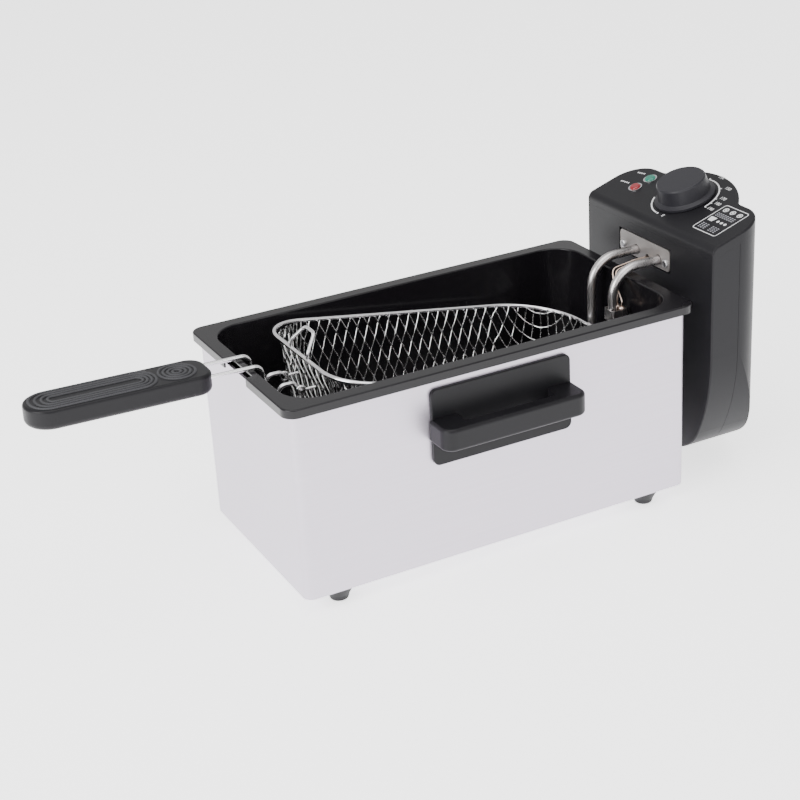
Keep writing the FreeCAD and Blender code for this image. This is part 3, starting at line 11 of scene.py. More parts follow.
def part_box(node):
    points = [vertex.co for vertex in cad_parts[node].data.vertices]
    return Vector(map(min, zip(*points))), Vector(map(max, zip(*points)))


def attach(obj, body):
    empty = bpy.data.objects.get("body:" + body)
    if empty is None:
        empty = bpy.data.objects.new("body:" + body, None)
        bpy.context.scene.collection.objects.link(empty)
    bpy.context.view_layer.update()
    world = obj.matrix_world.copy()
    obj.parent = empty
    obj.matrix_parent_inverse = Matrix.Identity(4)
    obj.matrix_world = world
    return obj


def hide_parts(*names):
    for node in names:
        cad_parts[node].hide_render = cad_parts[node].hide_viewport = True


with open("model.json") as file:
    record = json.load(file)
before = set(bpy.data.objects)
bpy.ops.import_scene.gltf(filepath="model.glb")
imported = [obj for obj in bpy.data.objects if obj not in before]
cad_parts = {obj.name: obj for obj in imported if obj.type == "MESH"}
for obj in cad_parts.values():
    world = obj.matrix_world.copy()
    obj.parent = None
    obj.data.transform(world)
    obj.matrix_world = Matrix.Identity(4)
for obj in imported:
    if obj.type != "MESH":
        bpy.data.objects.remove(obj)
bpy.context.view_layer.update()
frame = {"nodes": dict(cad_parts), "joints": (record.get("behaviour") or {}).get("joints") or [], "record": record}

bl_info = {
    "name": "Deep Fryer",
    "version": (1, 0, 0),
    "blender": (4, 5, 0),
    "location": "3D View > Sidebar > Fryer",
    "description": "Builds the basket mesh, dial print, grip ribs and finishes of a countertop deep fryer",
    "category": "Add Mesh",
}

MM = 0.001
NODES = frame["nodes"]
JOINTS = {joint["name"]: joint for joint in frame["joints"]}


# ---------------------------------------------------------------- places read from the frame

HOUSING_LOW, HOUSING_HIGH = (Vector(corner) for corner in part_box("housing_shell"))
DATUM = Vector(((HOUSING_LOW.x + HOUSING_HIGH.x) / 2, 0, HOUSING_LOW.z))
PIVOT = Vector(JOINTS["handle_fold"]["pos_m"])
KNOB_FOOT = Vector(JOINTS["knob_turn"]["pos_m"])
PANEL_NORMAL = Vector(JOINTS["knob_turn"]["axis"]).normalized()


def turned(origin, across, up):
    """A placement whose X runs across, whose Y runs up and whose Z is their normal."""
    across, up = Vector(across).normalized(), Vector(up).normalized()
    return Matrix.Translation(origin) @ Matrix((across, up, across.cross(up))).transposed().to_4x4()


# ---------------------------------------------------------------- mesh helpers

def finish_piece(name, mesh_or_bmesh, material, body, replaced=(), smooth=True):
    """Turn a bmesh into a piece of the object that moves with a body."""
    if isinstance(mesh_or_bmesh, bmesh.types.BMesh):
        mesh = bpy.data.meshes.new(name)
        mesh_or_bmesh.to_mesh(mesh)
        mesh_or_bmesh.free()
    else:
        mesh = mesh_or_bmesh
    piece = bpy.data.objects.new(name, mesh)
    bpy.context.scene.collection.objects.link(piece)
    mesh.materials.clear()
    mesh.materials.append(material)
    for polygon in mesh.polygons:
        polygon.use_smooth = smooth
    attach(piece, body)
    if replaced:
        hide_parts(*replaced)
    return piece


def tube_mesh(name, lines, radius, sides=2, closed=False):
    """Round wires along lines of points, as one mesh."""
    curve = bpy.data.curves.new(name, "CURVE")
    curve.dimensions = "3D"
    curve.bevel_depth = radius
    curve.bevel_resolution = sides
    curve.use_fill_caps = not closed
    for line in lines:
        spline = curve.splines.new("POLY")
        spline.points.add(len(line) - 1)
        for point, place in zip(spline.points, line):
            point.co = (*place, 1)
        spline.use_cyclic_u = closed
    holder = bpy.data.objects.new(name, curve)
    mesh = bpy.data.meshes.new_from_object(holder)
    bpy.data.objects.remove(holder)
    bpy.data.curves.remove(curve)
    return mesh


# ---------------------------------------------------------------- shader helpers

class Shade:
    """A shader output. Python operators on it add Math nodes."""

    def __init__(self, finish, socket):
        self.finish = finish
        self.socket = socket

    def _math(self, operation, left, right):
        return self.finish.node("ShaderNodeMath", {"operation": operation}, {0: left, 1: right})

    def __add__(self, other):
        return self._math("ADD", self, other)

    def __radd__(self, other):
        return self._math("ADD", other, self)

    def __mul__(self, other):
        return self._math("MULTIPLY", self, other)

    def __rmul__(self, other):
        return self._math("MULTIPLY", other, self)


class Finish:
    """One procedural material built round a Principled shader."""

    def __init__(self, name, color, **constants):
        self.material = bpy.data.materials.new(name)
        self.material.use_nodes = True
        self.tree = self.material.node_tree
        self.shader = self.tree.nodes["Principled BSDF"]
        self.shader.inputs["Base Color"].default_value = (*color, 1)
        for key, value in constants.items():
            self.shader.inputs[key.replace("_", " ")].default_value = value

    def node(self, kind, settings=None, sockets=None, output=0):
        """Add a node: its settings first, then the values or links of its sockets."""
        made = self.tree.nodes.new(kind)
        for key, value in (settings or {}).items():
            if key == "stops":
                self._set_stops(made.color_ramp, value)
            else:
                setattr(made, key, value)
        for key, value in (sockets or {}).items():
            if isinstance(value, Shade):
                self.tree.links.new(value.socket, made.inputs[key])
            else:
                made.inputs[key].default_value = value
        return Shade(self, made.outputs[output])

    def _set_stops(self, ramp, stops):
        while len(ramp.elements) < len(stops):
            ramp.elements.new(1.0)
        for element, (position, value) in zip(ramp.elements, stops):
            element.position = position
            element.color = (value, value, value, 1) if isinstance(value, float) else (*value, 1)

    def place(self):
        return self.node("ShaderNodeTexCoord", output=3)

    def axis(self, index):
        return self.node("ShaderNodeSeparateXYZ", None, {0: self.place()}, output=index)

    def combine(self, x, y, z):
        return self.node("ShaderNodeCombineXYZ", None, {0: x, 1: y, 2: z})

    def noise(self, scale, detail=3.0, roughness=0.5, vector=None):
        sockets = {"Vector": vector or self.place(), "Scale": scale, "Detail": detail, "Roughness": roughness}
        return self.node("ShaderNodeTexNoise", None, sockets)

    def ramp(self, factor, stops):
        return self.node("ShaderNodeValToRGB", {"stops": stops}, {0: factor})

    def blend(self, factor, first, second):
        first = first if isinstance(first, Shade) else (*first[:3], 1)
        second = second if isinstance(second, Shade) else (*second[:3], 1)
        return self.node("ShaderNodeMix", {"data_type": "RGBA"}, {0: factor, 6: first, 7: second}, output=2)

    def feed(self, name, value):
        """Link a varying value to one of the shader's own sockets."""
        self.tree.links.new(value.socket, self.shader.inputs[name])
        return self

    def shades(self, factor, first, second):
        """A base colour that wanders between two shades."""
        return self.feed("Base Color", self.blend(factor, first, second))

    def gloss(self, factor, low, high, reach=0.2):
        """A roughness that runs from low to high over the middle of a pattern."""
        return self.feed("Roughness", self.ramp(factor, [(0.5 - reach, low), (0.5 + reach, high)]))

    def bump(self, height, strength, distance):
        sockets = {"Height": height, "Strength": strength, "Distance": distance}
        return self.feed("Normal", self.node("ShaderNodeBump", None, sockets))


def brushed_finish(name, color, metallic, low, high):
    """Sheet brushed lengthwise: fine streaks run level along every upright wall."""
    streak = 0.07
    finish = Finish(name, color, Metallic=metallic)
    level = finish.axis(2)
    along = (finish.axis(0) + finish.axis(1)) * 6
    fine = finish.noise(1.0, 2.0, 0.6, finish.combine(along, 0.0, level * 2600))
    broad = finish.noise(1.0, 2.0, 0.5, finish.combine(along * 0.5, 3.0, level * 420))
    grain = fine * 0.65 + broad * 0.35
    darker = [max(part - streak, 0) for part in color]
    lighter = [min(part + streak, 1) for part in color]
    finish.shades(grain, darker, lighter)
    finish.gloss(grain, low, high, reach=0.25)
    return finish.bump(grain, 0.12, 0.00008)


def moulded_finish(name, color, roughness, grain=0.0009, shine=0.5):
    """Moulded plastic with a fine spark-eroded grain and slightly uneven gloss."""
    finish = Finish(name, color, Specular_IOR_Level=shine)
    pebble = finish.noise(1 / grain, 2.0, 0.6)
    cloud = finish.noise(24.0, 3.0)
    finish.shades(cloud, color, [min(part * 1.25 + 0.003, 1) for part in color])
    finish.gloss(cloud * 0.6 + pebble * 0.4, roughness - 0.05, roughness + 0.07)
    return finish.bump(pebble, 0.35, 0.00006)


def wire_finish(name, color, roughness, tint):
    """Bright plated wire, a little duller in patches."""
    finish = Finish(name, color, Metallic=1.0)
    patch = finish.noise(60.0, 4.0)
    finish.shades(patch, tint, color)
    finish.gloss(patch, roughness, roughness + 0.12)
    return finish.bump(finish.noise(900.0, 2.0), 0.1, 0.00003)


def enamel_finish(name):
    """Dark satin coating with a faint orange-peel and an uneven gloss."""
    finish = Finish(name, (0.006, 0.0055, 0.0065), Specular_IOR_Level=0.3)
    cloud = finish.noise(9.0, 3.0)
    finish.shades(cloud, (0.005, 0.0045, 0.0055), (0.009, 0.008, 0.010))
    finish.gloss(cloud, 0.2, 0.3)
    return finish.bump(finish.noise(420.0, 2.0), 0.25, 0.00006)


def lens_finish(name, color, glow):
    """Tinted lamp lens with a faceted inside that shows as a fine net."""
    finish = Finish(name, color, Roughness=0.12, IOR=1.5, Emission_Strength=0.12, Coat_Weight=0.35)
    cells = finish.node("ShaderNodeTexVoronoi", None, {"Vector": finish.place(), "Scale": 1400.0})
    finish.shades(cells, color, [part * 0.45 for part in color])
    finish.feed("Emission Color", finish.blend(cells, glow, [part * 0.3 for part in glow]))
    return finish.bump(cells, 0.2, 0.0002)


def copper_finish(name):
    """Copper bulbs and capillaries, stained darker in patches."""
    finish = Finish(name, (0.75, 0.58, 0.46), Metallic=1.0)
    stain = finish.noise(70.0, 4.0)
    finish.shades(stain, (0.62, 0.44, 0.34), (0.8, 0.72, 0.66))
    return finish.gloss(stain, 0.22, 0.4)


def element_finish(name):
    """Drawn stainless tube, straw-toned in places by heat."""
    finish = Finish(name, (0.62, 0.6, 0.6), Metallic=1.0)
    heat = finish.noise(26.0, 3.0)
    lengthwise = finish.combine(finish.axis(0) * 900, finish.axis(1) * 900, finish.axis(2) * 40)
    draw = finish.noise(1.0, 2.0, 0.6, lengthwise)
    finish.shades(heat * 0.7 + draw * 0.3, (0.46, 0.43, 0.42), (0.74, 0.72, 0.72))
    finish.gloss(draw, 0.24, 0.38)
    return finish.bump(draw, 0.12, 0.00005)


def dull_plate_finish(name):
    """Plated sheet, dull and faintly brown, with short upright brush marks."""
    finish = Finish(name, (0.4, 0.38, 0.37), Metallic=0.9)
    upright = finish.combine(0.0, finish.axis(1) * 900, finish.axis(2) * 60)
    brush = finish.noise(1.0, 2.0, 0.5, upright)
    cloud = finish.noise(45.0, 3.0)
    finish.shades(cloud * 0.6 + brush * 0.4, (0.27, 0.25, 0.24), (0.44, 0.42, 0.41))
    finish.gloss(brush, 0.46, 0.58)
    return finish.bump(brush, 0.06, 0.00004)


def print_finish(name, color):
    """Pad-printed ink: matt, with slightly starved patches."""
    finish = Finish(name, color)
    starve = finish.noise(2400.0, 2.0)
    finish.shades(starve, [part * 0.82 for part in color], color)
    return finish.gloss(starve, 0.45, 0.6)


# ---------------------------------------------------------------- settings

class StageSettings(bpy.types.PropertyGroup):
    lens: FloatProperty(
        name="Lens", description="Focal length of the camera", default=79.23, subtype="DISTANCE_CAMERA")
    azimuth: FloatProperty(
        name="Azimuth", description="How far the camera stands round to the handle",
        default=math.radians(-26.159), subtype="ANGLE")
    elevation: FloatProperty(
        name="Elevation", description="How far the camera looks down",
        default=math.radians(24.807), subtype="ANGLE")
    roll: FloatProperty(
        name="Roll", description="Turn of the camera about its view",
        default=math.radians(-3.5385), subtype="ANGLE")
    place: FloatVectorProperty(
        name="Place", description="Camera place from the housing's underside",
        default=(-0.5587, -1.0597, 0.6367), subtype="TRANSLATION", unit="LENGTH")
    floor_color: FloatVectorProperty(
        name="Floor", description="Colour of the floor",
        default=(0.93, 0.93, 0.935), subtype="COLOR", min=0, max=1)
    floor_glow: FloatProperty(
        name="Floor glow", description="Light that the back-lit floor gives off", default=1.9, min=0)


class BasketSettings(bpy.types.PropertyGroup):
    wire: FloatProperty(
        name="Wire", description="Diameter of the mesh wire", default=1.1 * MM, unit="LENGTH")
    cell: FloatProperty(
        name="Cell", description="Side of one mesh cell before drawing", default=9.5 * MM, unit="LENGTH")
    batter: FloatProperty(
        name="Batter", description="Lean of the walls for each unit of height", default=0.114)
    side_gather: FloatProperty(
        name="Side gather", description="How much mesh is gathered into a long wall", default=1.51)
    front_gather: FloatProperty(
        name="Front gather", description="How much mesh is gathered into the front", default=1.25)
    corner_gather: FloatProperty(
        name="Corner gather", description="How much mesh is gathered at the foot of a corner", default=0.42)
    draw: FloatProperty(
        name="Draw", description="Mesh used for each unit of wall height", default=0.64)
    corner_draw: FloatProperty(
        name="Corner draw", description="The same at a corner", default=0.85)
    front_corner: FloatProperty(
        name="Front corner", description="Radius of the rim's front corners", default=32 * MM, unit="LENGTH")
    rear_corner: FloatProperty(
        name="Rear corner", description="Radius of the rim's rear corners", default=52 * MM, unit="LENGTH")
    floor_round: FloatProperty(
        name="Floor round", description="Radius between wall and floor", default=7 * MM, unit="LENGTH")


class PanelSettings(bpy.types.PropertyGroup):
    knob_along: FloatProperty(
        name="Knob place", description="Knob's distance up the panel", default=37.2 * MM, unit="LENGTH")
    dial_radius: FloatProperty(
        name="Dial radius", description="Radius of the printed dial line", default=26.6 * MM, unit="LENGTH")
    number_radius: FloatProperty(
        name="Number radius", description="Radius of the dial's numbers", default=33.4 * MM, unit="LENGTH")
    number_height: FloatProperty(
        name="Number height", description="Height of the dial's numbers", default=3.2 * MM, unit="LENGTH")
    legend_low: FloatVectorProperty(
        name="Legend low", description="Near left corner of the legend",
        size=2, default=(41 * MM, 12.5 * MM), unit="LENGTH")
    legend_high: FloatVectorProperty(
        name="Legend high", description="Far right corner of the legend",
        size=2, default=(68.5 * MM, 46 * MM), unit="LENGTH")


class GripSettings(bpy.types.PropertyGroup):
    pitch: FloatProperty(
        name="Pitch", description="Rise of the handle towards its tip",
        default=math.radians(1.5), subtype="ANGLE")
    pad_place: FloatProperty(
        name="Pad place", description="Thumb pad's distance from the grip's root",
        default=22 * MM, unit="LENGTH")
    pad_rings: IntProperty(
        name="Pad rings", description="Ridges round the thumb pad", default=4)
    ring_step: FloatProperty(
        name="Ring step", description="Distance between ridges", default=3.3 * MM, unit="LENGTH")
    ridge: FloatProperty(
        name="Ridge", description="Half width of one ridge", default=1.15 * MM, unit="LENGTH")
    ridge_height: FloatProperty(
        name="Ridge height", description="How far a ridge stands up", default=0.95 * MM, unit="LENGTH")


# ---------------------------------------------------------------- stage

FLOOR_HALF_WIDTH = 4
WORLD_STRENGTH = 0.85
SENSOR_WIDTH = 36
LAMP_TARGET = Vector((0, 0, 0.1))
LAMPS = (("overhead_soft", (-0.2, -0.3, 1.9), 1.6, 22), ("left_soft", (-1.7, -0.5, 0.9), 1.2, 34),
         ("front_soft", (0.3, -2.0, 0.9), 1.2, 10))


class FRYER_OT_stage(bpy.types.Operator):
    """Set up the floor, the soft lights and the camera"""
    bl_idname = "fryer.stage"
    bl_label = "Stage"

    def execute(self, context):
        settings = context.scene.fryer_stage
        bm = bmesh.new()
        bmesh.ops.create_grid(bm, x_segments=1, y_segments=1, size=FLOOR_HALF_WIDTH)
        mesh = bpy.data.meshes.new("floor")
        bm.to_mesh(mesh)
        bm.free()
        floor = bpy.data.objects.new("floor", mesh)
        context.scene.collection.objects.link(floor)
        finish = Finish("pale_floor", settings.floor_color, Roughness=0.7, Emission_Color=(1, 1, 1, 1),
                        Emission_Strength=settings.floor_glow)
        finish.shades(finish.noise(3.0), settings.floor_color, [part * 0.99 for part in settings.floor_color])
        mesh.materials.append(finish.material)
        self.lights(context)
        self.camera(context, settings)
        return {"FINISHED"}

    def lights(self, context):
        world = bpy.data.worlds.new("studio")
        world.use_nodes = True
        background = world.node_tree.nodes["Background"]
        background.inputs["Color"].default_value = (1, 1, 1, 1)
        background.inputs["Strength"].default_value = WORLD_STRENGTH
        context.scene.world = world
        for name, place, size, power in LAMPS:
            light = bpy.data.lights.new(name, "AREA")
            light.shape = "SQUARE"
            light.size = size
            light.energy = power
            lamp = bpy.data.objects.new(name, light)
            lamp.location = place
            aim = LAMP_TARGET - Vector(place)
            lamp.rotation_euler = aim.to_track_quat("-Z", "Y").to_euler()
            context.scene.collection.objects.link(lamp)

    def camera(self, context, settings):
        azimuth, elevation, roll = settings.azimuth, settings.elevation, settings.roll
        back = Vector((math.sin(azimuth) * math.cos(elevation), -math.cos(azimuth) * math.cos(elevation),
                       math.sin(elevation)))
        level = Vector((0, 0, 1)).cross(back).normalized()
        upright = back.cross(level)
        across = level * math.cos(roll) + upright * math.sin(roll)
        up = upright * math.cos(roll) - level * math.sin(roll)
        data = bpy.data.cameras.new("camera")
        data.lens = settings.lens
        data.sensor_width = SENSOR_WIDTH
        camera = bpy.data.objects.new("camera", data)
        camera.matrix_world = turned(DATUM + Vector(settings.place), across, up)
        context.scene.collection.objects.link(camera)
        context.scene.camera = camera


# ---------------------------------------------------------------- finishes

FINISHES = {
    "brushed_housing": (brushed_finish, {"color": (0.60, 0.555, 0.63), "metallic": 0.8, "low": 0.32,
                                         "high": 0.46}),
    "zinc_sheet": (brushed_finish, {"color": (0.6, 0.61, 0.63), "metallic": 1.0, "low": 0.35, "high": 0.5}),
    "element_plate_sheet": (dull_plate_finish, {}),
    "screw_steel": (wire_finish, {"color": (0.75, 0.75, 0.76), "roughness": 0.25, "tint": (0.6, 0.6, 0.61)}),
    "foot_rubber": (moulded_finish, {"color": (0.010, 0.010, 0.011), "roughness": 0.55, "grain": 0.0007,
                                     "shine": 0.3}),
    "handle_plastic": (moulded_finish, {"color": (0.0055, 0.0052, 0.0065), "roughness": 0.36, "shine": 0.2}),
    "black_enamel": (enamel_finish, {}),
    "basket_chrome": (wire_finish, {"color": (0.9, 0.89, 0.9), "roughness": 0.16,
                                    "tint": (0.78, 0.77, 0.79)}),
    "case_plastic": (moulded_finish, {"color": (0.0065, 0.0062, 0.0078), "roughness": 0.42, "shine": 0.2}),
    "knob_plastic": (moulded_finish, {"color": (0.012, 0.0115, 0.015), "roughness": 0.38, "grain": 0.0007,
                                      "shine": 0.3}),
    "button_red": (moulded_finish, {"color": (0.42, 0.02, 0.015), "roughness": 0.3, "grain": 0.0007}),
    "element_steel": (element_finish, {}),
    "bulb_copper": (copper_finish, {}),
    "ceramic_body": (moulded_finish, {"color": (0.68, 0.63, 0.54), "roughness": 0.45, "grain": 0.0006}),
    "lens_green": (lens_finish, {"color": (0.003, 0.2, 0.13), "glow": (0.0, 0.45, 0.3)}),
    "lens_red": (lens_finish, {"color": (0.3, 0.004, 0.012), "glow": (0.45, 0.0, 0.01)}),
    "bezel_chrome": (wire_finish, {"color": (0.8, 0.8, 0.81), "roughness": 0.2, "tint": (0.6, 0.6, 0.62)}),
    "panel_print": (print_finish, {"color": (0.82, 0.82, 0.83)}),
    "panel_print_grey": (print_finish, {"color": (0.33, 0.33, 0.36)}),
}
OWN_FINISH = {"element_plate": "element_plate_sheet"}


def finish_named(name):
    return bpy.data.materials[name]


class FRYER_OT_finishes(bpy.types.Operator):
    """Make every finish and put it on the pieces carried over from the frame"""
    bl_idname = "fryer.finishes"
    bl_label = "Finishes"

    def execute(self, context):
        made = {name: make(name, **values).material for name, (make, values) in FINISHES.items()}
        for row in frame["record"]["subparts"]:
            material = made[OWN_FINISH.get(row["node"], row["material_slot"])]
            for slot in NODES[row["node"]].material_slots:
                slot.material = material
        return {"FINISHED"}


# ---------------------------------------------------------------- basket

RIM_WIRE_RADIUS = 1.6 * MM
# Steps round the sheet's outline: in each corner, and along each straight stretch.
RING_STEPS = {"corner": 18, "side": 44, "front": 16, "rear": 10}
FLOOR_RINGS, BEND_RINGS, WALL_RINGS = 12, 4, 16
FLOOR_HUB = 0.5  # length of the floor's middle line, as a share of the floor's
WELD_DISTANCE = 1e-6
CUT_DISTANCE = 1e-7
ON_WIRE = 1e-4  # how far off a wire's line a vertex may lie, in cells
SHORTEST_STEP = 0.0008


class Basket:
    """The basket's walls, worked out from the rim wire and the floor of the frame's own basket."""

    def __init__(self, settings):
        self.settings = settings
        low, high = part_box("basket_rim_wire")
        self.front, self.rear = low[0] + RIM_WIRE_RADIUS, high[0] - RIM_WIRE_RADIUS
        self.middle = (self.front + self.rear) / 2
        self.front_level, self.rear_level = high[2] - RIM_WIRE_RADIUS, low[2] + RIM_WIRE_RADIUS
        self.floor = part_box("basket_mesh")[0][2]
        self.rim_level = (self.front_level + self.rear_level) / 2
        spread = (self.front_level - self.rim_level) * settings.batter
        self.half = high[1] - RIM_WIRE_RADIUS - spread
        self.inset = RIM_WIRE_RADIUS + settings.wire
        self.trips = {}

    def outline(self, level):
        """Front, rear, half width and the two corner radii of the wall at a level."""
        batter = self.settings.batter
        front_in = self.inset + (self.front_level - level) * batter
        rear_in = self.inset + (self.rear_level - level) * batter
        side_in = self.inset + (self.rim_level - level) * batter
        return (self.front + front_in, self.rear - rear_in, self.half - side_in,
                self.settings.front_corner - front_in, self.settings.rear_corner - rear_in)

    def rim_at(self, x):
        share = (x - self.front) / (self.rear - self.front)
        return self.front_level + (self.rear_level - self.front_level) * share

    def trip_at(self, rise):
        """The trip round the wall at a height above the floor, worked out once for each height."""
        key = round(rise * 1e7)
        if key not in self.trips:
            self.trips[key] = round_trip(*self.outline(self.floor + rise))
        return self.trips[key]


def round_trip(front, rear, half, front_round, rear_round):
    """Points, outward normals and stretch names round an outline, from the middle of the rear wall."""
    corners = ((rear - rear_round, half - rear_round, rear_round, 0),
               (front + front_round, half - front_round, front_round, 1),
               (front + front_round, front_round - half, front_round, 2),
               (rear - rear_round, rear_round - half, rear_round, 3))
    trip = []
    for index, (x, y, radius, quarter) in enumerate(corners):
        for step in range(RING_STEPS["corner"] + 1):
            angle = (quarter + step / RING_STEPS["corner"]) * math.pi / 2
            normal = Vector((math.cos(angle), math.sin(angle)))
            trip.append((Vector((x, y)) + normal * radius, normal, "corner"))
        next_x, next_y, next_radius, _ = corners[(index + 1) % 4]
        side = ("side", "front", "side", "rear")[index]
        start, normal, _ = trip[-1]
        end = Vector((next_x, next_y)) + normal * next_radius
        for step in range(1, RING_STEPS[side]):
            trip.append((start.lerp(end, step / RING_STEPS[side]), normal, side))
    return trip


def basket_sheet(basket):
    """The basket as one sheet laid flat: each vertex holds its place on the basket and its normal there."""
    settings = basket.settings
    base = basket.trip_at(0)
    gather = flat_outline(base, settings)
    bm = bmesh.new()
    layers = bm.verts.layers.float_vector.new("place"), bm.verts.layers.float_vector.new("outward")
    rings = [floor_ring(bm, basket, base, gather, index / FLOOR_RINGS, layers)
             for index in range(FLOOR_RINGS + 1)]
    for index in range(1, BEND_RINGS + 1):
        angle = index / BEND_RINGS * math.pi / 2
        rise = settings.floor_round * (1 - math.cos(angle))
        out = settings.floor_round * math.sin(angle) - settings.floor_round
        rings.append(wall_ring(bm, basket, base, gather, [rise] * len(base), out, angle, layers))
    tops = [basket.rim_at(point.x) - basket.floor for point, _, _ in base]
    for index in range(1, WALL_RINGS + 1):
        share = index / WALL_RINGS
        rises = [settings.floor_round + (top - settings.floor_round) * share for top in tops]
        rings.append(wall_ring(bm, basket, base, gather, rises, 0, math.pi / 2, layers))
    for inner, outer in zip(rings, rings[1:]):
        for index in range(len(base)):
            following = (index + 1) % len(base)
            bm.faces.new((inner[index], outer[index], outer[following], inner[following]))
    return bm, *layers


def add_vertex(bm, flat, place, outward, layers):
    vertex = bm.verts.new((*flat, 0))
    vertex[layers[0]] = place
    vertex[layers[1]] = outward
    return vertex


def floor_ring(bm, basket, base, gather, share, layers):
    """One ring of the floor, at a share of the way from its middle line to its edge."""
    ring = []
    for (point, normal, _), flat in zip(base, gather):
        centre = Vector((basket.middle + (point.x - basket.middle) * FLOOR_HUB, 0))
        flat_centre = Vector((flat.x * FLOOR_HUB, 0))
        spot = centre.lerp(point - normal * basket.settings.floor_round, share)
        ring.append(add_vertex(bm, flat_centre.lerp(flat, share), (*spot, basket.floor), (0, 0, -1), layers))
    return ring


def wall_ring(bm, basket, base, gather, rises, out, angle, layers):
    """One ring of the bend or wall, at its own height above the floor at each point."""
    settings = basket.settings
    ring = []
    for index, ((_, normal, _), flat, rise) in enumerate(zip(base, gather, rises)):
        point = basket.trip_at(rise)[index][0]
        lean = 2 * abs(normal.x * normal.y)
        draw = settings.draw + (settings.corner_draw - settings.draw) * lean
        outward = (*(normal * math.sin(angle)), -math.cos(angle))
        ring.append(add_vertex(bm, flat + normal * draw * (rise + max(out, -MM)),
                               (*(point + normal * out), basket.floor + rise), outward, layers))
    return ring


def flat_outline(base, settings):
    """The floor's edge on the flat sheet: each stretch of it is gathered by its own factor."""
    lengths = {}
    count = len(base)
    for index in range(count):
        stretch = base[index][2] if base[index][2] != "corner" else base[(index + 1) % count][2]
        step = base[(index + 1) % count][0] - base[index][0]
        lengths[stretch] = lengths.get(stretch, Vector((0, 0))) + Vector((abs(step.x), abs(step.y)))
    factors = {"side": settings.side_gather, "front": settings.front_gather, "corner": settings.corner_gather}
    corner_y = {"front": 0.0, "rear": 0.0}
    for index in range(count):
        here, following = base[index], base[(index + 1) % count]
        if here[2] == "corner" and following[2] == "corner":
            end = "rear" if here[1].x > 1e-9 or following[1].x > 1e-9 else "front"
            corner_y[end] += abs(following[0].y - here[0].y)
    front_run = settings.front_gather * lengths["front"].y
    rear_run = front_run + settings.corner_gather * (corner_y["front"] - corner_y["rear"])
    factors["rear"] = rear_run / lengths["rear"].y
    flat = [Vector((0, 0))]
    for index in range(count - 1):
        here, following = base[index], base[index + 1]
        stretch = here[2] if here[2] != "corner" else following[2]
        flat.append(flat[-1] + (following[0] - here[0]) * factors[stretch])
    middle_x = (max(point.x for point in flat) + min(point.x for point in flat)) / 2
    middle_y = (max(point.y for point in flat) + min(point.y for point in flat)) / 2
    return [point - Vector((middle_x, middle_y)) for point in flat]


def cut_sheet(bm, direction, spacing, reach):
    """Cut the sheet along evenly spaced lines that lie across a direction."""
    for step in range(-reach, reach + 1):
        bmesh.ops.bisect_plane(bm, geom=bm.verts[:] + bm.edges[:] + bm.faces[:], dist=CUT_DISTANCE,
                               plane_co=direction * (step * spacing), plane_no=direction)


def wire_lines(basket, family):
    """Follow one family of mesh wires over the basket, bent over and under the other family."""
    settings = basket.settings
    bm, place_layer, normal_layer = basket_sheet(basket)
    bmesh.ops.remove_doubles(bm, verts=bm.verts, dist=WELD_DISTANCE)
    across = Vector((1, family, 0)).normalized()
    along = Vector((-family, 1, 0)).normalized()
    reach = max(vertex.co.length for vertex in bm.verts)
    count = int(reach / settings.cell) + 1
    cut_sheet(bm, along, settings.cell / 2, 2 * count)
    cut_sheet(bm, across, settings.cell, count)
    chains = {}
    for vertex in bm.verts:
        number = vertex.co.dot(across) / settings.cell
        if abs(number - round(number)) < ON_WIRE:
            chains.setdefault(round(number), []).append(vertex)
    lines = []
    for number, chain in sorted(chains.items()):
        chain.sort(key=lambda vertex: vertex.co.dot(along))
        line = []
        for vertex in chain:
            turn = math.cos(math.pi * vertex.co.dot(along) / settings.cell)
            side = 1 if number % 2 == 0 else -1
            lift = settings.wire / 2 * turn * side * family
            place = Vector(vertex[place_layer]) + Vector(vertex[normal_layer]) * lift
            if not line or (place - line[-1]).length > SHORTEST_STEP:
                line.append(place)
        if len(line) > 2:
            lines.append(line)
    bm.free()
    return lines


class FRYER_OT_basket_mesh(bpy.types.Operator):
    """Weave the drawn wire mesh of the basket"""
    bl_idname = "fryer.basket_mesh"
    bl_label = "Basket mesh"

    def execute(self, context):
        settings = context.scene.fryer_basket
        basket = Basket(settings)
        lines = wire_lines(basket, 1) + wire_lines(basket, -1)
        mesh = tube_mesh("basket_weave", lines, settings.wire / 2, sides=1)
        finish_piece("basket_weave", mesh, finish_named("basket_chrome"), "basket",
                     ["basket_mesh"])
        return {"FINISHED"}


# ---------------------------------------------------------------- panel print

INK_HEIGHT = 0.09 * MM
LINE_WIDTH = 0.95 * MM
TYPE_SIZE = 1.4  # size of the built-in face for each unit of a figure's height

# The dial, with its angles in degrees about the knob.
DIAL_ARCS = ((98, -3), (209, 264))
DIAL_TICKS = (98, 53, 22, 9, -3)
TICK_LENGTH = 1.9 * MM
DOT_ANGLE, DOT_RADIUS = 268, 0.9 * MM
ZERO_PLACE = (6.2 * MM, 10.6 * MM)
DIAL_NUMBERS = (("130", 84), ("150", 48), ("170", 23.5), ("180", 11), ("190", -2))

# The two rows of dashes beside the lamps: their ends on the panel, in millimetres.
LAMP_MARKS = (((-69.5, 41.4), (-60.8, 43.0)), ((-72.0, 26.2), (-61.5, 27.3)))
MARK_DASHES = 5
DASH_SHARE = 0.62

